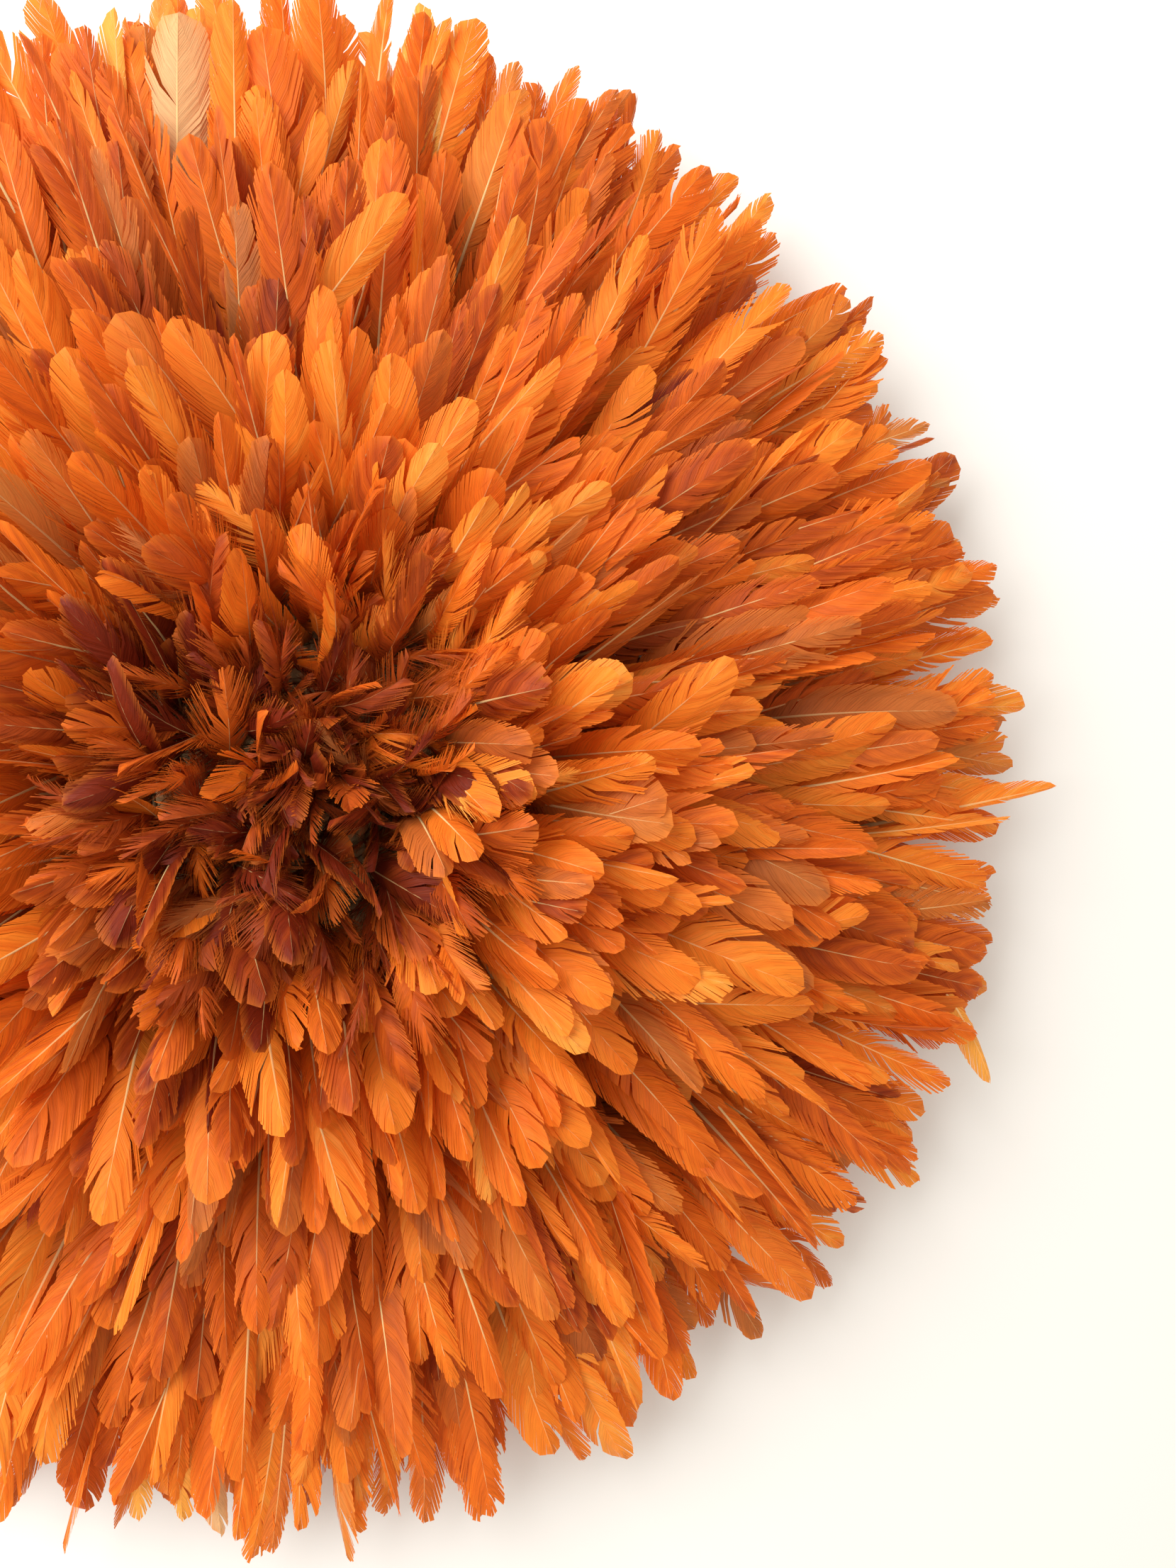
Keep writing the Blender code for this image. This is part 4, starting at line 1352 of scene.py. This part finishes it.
def feather_finish(settings):
    """Dyed feather: streaks along the barbs, painted light on the thin barb ends, a pale shaft, painted
    shade and a darker base towards the root, and light through the vane.
    """
    finish, tree, output = new_finish("dyed_feather")
    link = tree.links.new
    along, across, quill = mark(tree, "along"), mark(tree, "across"), mark(tree, "quill")
    offset = sums(tree, "MULTIPLY", mark(tree, "streak"), 9.0)
    x = sums(tree, "ADD", sums(tree, "MULTIPLY", mark(tree, "barb"), STREAKS_ALONG), offset)
    y = sums(tree, "MULTIPLY", across, STREAKS_OUT)
    streaks = noise(tree, x, y, noise_dimensions="2D", Scale=1.0, Detail=2.0, Roughness=0.7)
    cloud = noise(tree, x, y, noise_dimensions="2D", Scale=0.12, Detail=0.0)

    dyed = sums(tree, "ADD", mark(tree, "dye"), sums(tree, "MULTIPLY", cloud, CLOUDING))
    dyed = sums(tree, "SUBTRACT", dyed, CLOUDING / 2)
    dyed = sums(tree, "MULTIPLY", dyed, DYE_SPAN)
    colour = ramp(
        tree,
        dyed,
        (
            (0.0, settings.dark_dye),
            (0.285, settings.rust_dye),
            (0.54, settings.orange_dye),
            (0.75, settings.bright_dye_and_painted_glow),
            (1.0, settings.yellow_dye),
        ),
    )
    pale = mark(tree, "pale")
    paler = sums(tree, "SUBTRACT", pale, 1.0)
    for share, dye in ((pale, settings.tan_dye), (paler, settings.pale_dye)):
        colour = blend(tree, ramp(tree, share, ((0.0, 0.0), (1.0, 1.0))), colour, dye)
    streak_shade = ramp(tree, streaks, ((0.30, 0.76), (0.55, 1.0)))
    colour = blend(tree, 1.0, colour, streak_shade, "MULTIPLY")
    # Painted light: the thin ends of the barbs are blended towards the bright dye, as if lit through.
    thin = ramp(tree, across, ((0.70, 0.0), (1.0, 0.30)))
    colour = blend(tree, thin, colour, settings.bright_dye_and_painted_glow)
    shaft_fade = ramp(tree, along, ((0.62, 1.0), (0.97, 0.30)))
    shaft_share = blend(tree, 1.0, quill, shaft_fade, "MULTIPLY")
    colour = blend(tree, shaft_share, colour, settings.shaft_colour)
    # Painted shade: the colour and the shaft darken towards the root, partly the darker base that the
    # feathers have and partly the shade of the feathers lying over it.
    darker_base_and_painted_shade = ramp(tree, along, ((0.10, 0.28), (0.58, 1.0)))
    colour = blend(tree, 1.0, colour, darker_base_and_painted_shade, "MULTIPLY")

    surface, bump = rough_surface(tree, colour, streaks, 0.6, 0.44, 0.15)
    through = tree.nodes.new("ShaderNodeBsdfTranslucent")
    mixed = node(tree, "ShaderNodeMixShader", Fac=LIGHT_THROUGH)
    link(colour, through.inputs["Color"])
    link(bump.outputs["Normal"], through.inputs["Normal"])
    link(surface.outputs[0], mixed.inputs[1])
    link(through.outputs[0], mixed.inputs[2])
    link(mixed.outputs[0], output.inputs["Surface"])
    return finish


def shade_of(colour, share):
    """A darker or lighter shade of a colour."""
    return tuple(channel * share for channel in colour)


def fibre_finish(name, colour):
    """Dry raffia or twine: fine streaks along the fibre, and strips of other tones."""
    finish, tree, output = new_finish(name)
    scales = (("along", 0.08), ("across", 14.0), ("tone", 30.0))
    place = [sums(tree, "MULTIPLY", mark(tree, axis), scale) for axis, scale in scales]
    fibres = noise(tree, *place, Scale=1.0, Detail=4.0, Roughness=0.7)
    stops = ((0.25, shade_of(colour, 0.45)), (0.50, colour), (0.75, shade_of(colour, 1.45)))
    base = ramp(tree, fibres, stops)
    tones = ramp(tree, mark(tree, "tone"), ((0.0, 0.72), (0.5, 1.0), (1.0, 0.86)))
    base = blend(tree, 1.0, base, tones, "MULTIPLY")
    surface, _ = rough_surface(tree, base, fibres, 0.8, 0.72, 0.3)
    tree.links.new(surface.outputs[0], output.inputs["Surface"])
    return finish


def fibre_material(name, colour):
    """The raffia or twine finish of that name, made once."""
    return bpy.data.materials.get(f"{name}_fibre") or fibre_finish(f"{name}_fibre", colour)


def cane_finish(colour):
    """Split cane: long fibres out along the ribs, with darker joints here and there."""
    finish, tree, output = new_finish("split_cane")
    link = tree.links.new
    spot = tree.nodes.new("ShaderNodeTexCoord")
    split = tree.nodes.new("ShaderNodeSeparateXYZ")
    link(spot.outputs["Object"], split.inputs[0])
    reach = node(tree, "ShaderNodeVectorMath", operation="LENGTH")
    link(spot.outputs["Object"], reach.inputs[0])
    bearing = sums(tree, "ARCTAN2", split.outputs["Y"], split.outputs["X"])

    def scaled(*pairs):
        return [sums(tree, "MULTIPLY", value, scale) for value, scale in pairs]

    place = scaled((reach.outputs["Value"], 22.0), (bearing, 160.0), (split.outputs["Z"], 500.0))
    grain = noise(tree, *place, Scale=1.0, Detail=4.0, Roughness=0.65)
    stops = ((0.28, shade_of(colour, 0.45)), (0.52, colour), (0.75, shade_of(colour, 1.35)))
    base = ramp(tree, grain, stops)
    joints = noise(tree, *scaled((reach.outputs["Value"], 40.0), (bearing, 3.0)), Scale=1.0, Detail=1.0)
    dark = ramp(tree, joints, ((0.60, 1.0), (0.68, 0.55)))
    base = blend(tree, 1.0, base, dark, "MULTIPLY")
    surface, _ = rough_surface(tree, base, grain, 0.6, 0.5, 0.5)
    link(surface.outputs[0], output.inputs["Surface"])
    return finish


def feather_material():
    """The feathers' finish, made once."""
    made = bpy.data.materials.get("dyed_feather")
    return made or feather_finish(bpy.context.scene.headdress_feathers)


def make_feathers(rings, row, name, slot):
    """The piece NAME in place of that CAD row, from the rings and the standouts that are nearest to it."""
    scene = bpy.context.scene
    rng = np.random.default_rng(scene.headdress_feathers.scatter_seed * 1000 + row)
    bunch = Gathered(FEATHER_MARKS)
    for ring in rings:
        if round(max(ring.row, 0.0)) == row:
            scatter_ring(bunch, rng, ring, scene.headdress_feathers, scene.headdress_stage)
    for standout in STANDOUTS:
        if round(max(standout_tip(scene.headdress_stage, standout)[1], 0.0)) == row:
            add_standout(bunch, rng, scene.headdress_stage, standout)
    return bunch.make(name, ROW_NODES[row : row + 1], slot, feather_material())


class FeatherPieces:
    """Makes the pieces that an operator lists: the row, the name and the slot of each."""

    rings = ()
    pieces = ()

    def execute(self, context):
        for row, name, slot in self.pieces:
            make_feathers(self.rings, row, name, slot)
        return {"FINISHED"}


class HEADDRESS_OT_crown_feathers(FeatherPieces, Operator):
    """Make the short dark feathers at the crown"""

    bl_idname = "headdress.crown_feathers"
    bl_label = "Crown Feathers"
    rings = CROWN_RINGS
    pieces = (
        (0, "crown_tuft", "feather_dark"),
        (1, "crown_ring_1", "feather_dark"),
        (2, "crown_ring_2", "feather_dark"),
    )


class HEADDRESS_OT_long_feathers(FeatherPieces, Operator):
    """Make the long bright feathers round the crown"""

    bl_idname = "headdress.long_feathers"
    bl_label = "Long Feathers"
    rings = LONG_RINGS
    pieces = ((3, "long_ring_3", "feather_rust"), (4, "long_ring_4", "feather_orange"))


class HEADDRESS_OT_outer_feathers(FeatherPieces, Operator):
    """Make the rings that overlap like tiles towards the edge"""

    bl_idname = "headdress.outer_feathers"
    bl_label = "Outer Feathers"
    rings = OUTER_RINGS
    pieces = tuple((row, f"outer_ring_{row}", "feather_orange") for row in (5, 6, 7))


class HEADDRESS_OT_edge_feathers(FeatherPieces, Operator):
    """Make the ragged feathers at the edge"""

    bl_idname = "headdress.edge_feathers"
    bl_label = "Edge Feathers"
    rings = EDGE_RINGS
    pieces = ((8, "edge_ring_8", "feather_orange"),)


class HEADDRESS_OT_basket(Operator):
    """Make the coiled cap and its wound rim"""

    bl_idname = "headdress.basket"
    bl_label = "Basket"

    def execute(self, context):
        settings = context.scene.headdress_basket
        make_coiled_cap(settings)
        make_wound_rim(settings)
        return {"FINISHED"}


class HEADDRESS_OT_bindings(Operator):
    """Finish the ribs, and make the cords, the lashings and the hanging loop"""

    bl_idname = "headdress.bindings"
    bl_label = "Ribs and Cords"

    def execute(self, context):
        settings = context.scene.headdress_basket
        dress_ribs(settings)
        make_ring_cords(settings)
        make_lashings(settings)
        make_quill_cords(settings)
        make_twine_loop(settings)
        return {"FINISHED"}


class HEADDRESS_OT_stage(Operator):
    """Make the pale floor, the soft lights and the camera"""

    bl_idname = "headdress.stage"
    bl_label = "Stage"

    def execute(self, context):
        settings = context.scene.headdress_stage
        make_floor()
        make_lights(settings)
        make_camera(settings)
        return {"FINISHED"}


FLOOR_HALF = 3.0
FLOOR_DROP = 0.0003  # keeps the floor's face clear of the rim's underside
FLOOR_COLOUR = (0.88, 0.868, 0.845, 1.0)
WINDOW_PLACE = (-1.16, 0.68, 1.18)
WINDOW_WIDE, WINDOW_HIGH = 1.8, 1.5
WINDOW_COLOUR = (1.0, 1.0, 0.985)
ROOM_COLOUR = (1.0, 0.925, 0.83, 1.0)
SENSOR_WIDTH = 36.0  # millimetres


def make_floor():
    """A large pale floor, which stands in for the wall that the headdress hangs on."""
    mesh = bpy.data.meshes.new("floor")
    corners = [(-1, -1), (1, -1), (1, 1), (-1, 1)]
    points = [(x * FLOOR_HALF, y * FLOOR_HALF, -FLOOR_DROP) for x, y in corners]
    mesh.from_pydata(points, [], [(0, 1, 2, 3)])
    finish, tree, output = new_finish("pale_floor")
    surface = node(tree, "ShaderNodeBsdfPrincipled", Roughness=0.9)
    surface.inputs["Base Color"].default_value = FLOOR_COLOUR
    surface.inputs["Specular IOR Level"].default_value = 0.1
    tree.links.new(surface.outputs[0], output.inputs["Surface"])
    mesh.materials.append(finish)
    floor = add_object("floor", mesh)


def make_lights(settings):
    """A broad window from the upper left, and an even room."""
    data = bpy.data.lights.new("window", "AREA")
    data.shape, data.size, data.size_y = "RECTANGLE", WINDOW_WIDE, WINDOW_HIGH
    data.energy = settings.window_power
    data.color = WINDOW_COLOUR
    window = add_object("window", data)
    window.location = WINDOW_PLACE
    window.rotation_mode = "QUATERNION"
    aim = -window.location.normalized()
    window.rotation_quaternion = aim.to_track_quat("-Z", "Y")
    world = bpy.data.worlds.new("room")
    world.use_nodes = True
    backdrop = world.node_tree.nodes["Background"]
    backdrop.inputs["Color"].default_value = ROOM_COLOUR
    backdrop.inputs["Strength"].default_value = settings.room_light
    bpy.context.scene.world = world
    bpy.context.scene.view_settings.view_transform = "Standard"


def make_camera(settings):
    """The camera at the photograph's angle: straight over the axis, turned to the right."""
    data = bpy.data.cameras.new("camera")
    data.sensor_fit = "AUTO"
    data.sensor_width = SENSOR_WIDTH
    data.lens = settings.focal_pixels / max(PHOTO_WIDTH, PHOTO_HEIGHT) * data.sensor_width
    data.clip_start = 0.01
    camera = add_object("camera", data)
    camera.location = settings.camera_place
    camera.rotation_euler = (0.0, -settings.camera_turn, 0.0)
    bpy.context.scene.camera = camera


OPERATORS = (
    HEADDRESS_OT_basket,
    HEADDRESS_OT_bindings,
    HEADDRESS_OT_crown_feathers,
    HEADDRESS_OT_long_feathers,
    HEADDRESS_OT_outer_feathers,
    HEADDRESS_OT_edge_feathers,
    HEADDRESS_OT_stage,
)


class HEADDRESS_PT_panel(Panel):
    """Lists the headdress's settings and pieces"""

    bl_label = "Headdress"
    bl_idname = "HEADDRESS_PT_panel"
    bl_space_type = "VIEW_3D"
    bl_region_type = "UI"
    bl_category = "Headdress"

    def draw(self, context):
        scene = context.scene
        for settings in (scene.headdress_feathers, scene.headdress_basket, scene.headdress_stage):
            box = self.layout.box()
            for name in settings.bl_rna.properties.keys():
                if name not in ("rna_type", "name"):
                    box.prop(settings, name)
        for operator in OPERATORS:
            self.layout.operator(operator.bl_idname)


CLASSES = (FeatherSettings, BasketSettings, StageSettings, *OPERATORS, HEADDRESS_PT_panel)


def register():
    """Adds the settings, the operators and the panel to Blender."""
    for cls in CLASSES:
        register_class(cls)
    bpy.types.Scene.headdress_feathers = PointerProperty(type=FeatherSettings)
    bpy.types.Scene.headdress_basket = PointerProperty(type=BasketSettings)
    bpy.types.Scene.headdress_stage = PointerProperty(type=StageSettings)


def unregister():
    """Takes them out again."""
    del bpy.types.Scene.headdress_stage
    del bpy.types.Scene.headdress_basket
    del bpy.types.Scene.headdress_feathers
    for cls in reversed(CLASSES):
        unregister_class(cls)


def main():
    register()
    bpy.ops.headdress.basket()
    bpy.ops.headdress.bindings()
    bpy.ops.headdress.crown_feathers()
    bpy.ops.headdress.long_feathers()
    bpy.ops.headdress.outer_feathers()
    bpy.ops.headdress.edge_feathers()
    bpy.ops.headdress.stage()


if __name__ == "__main__":
    main()
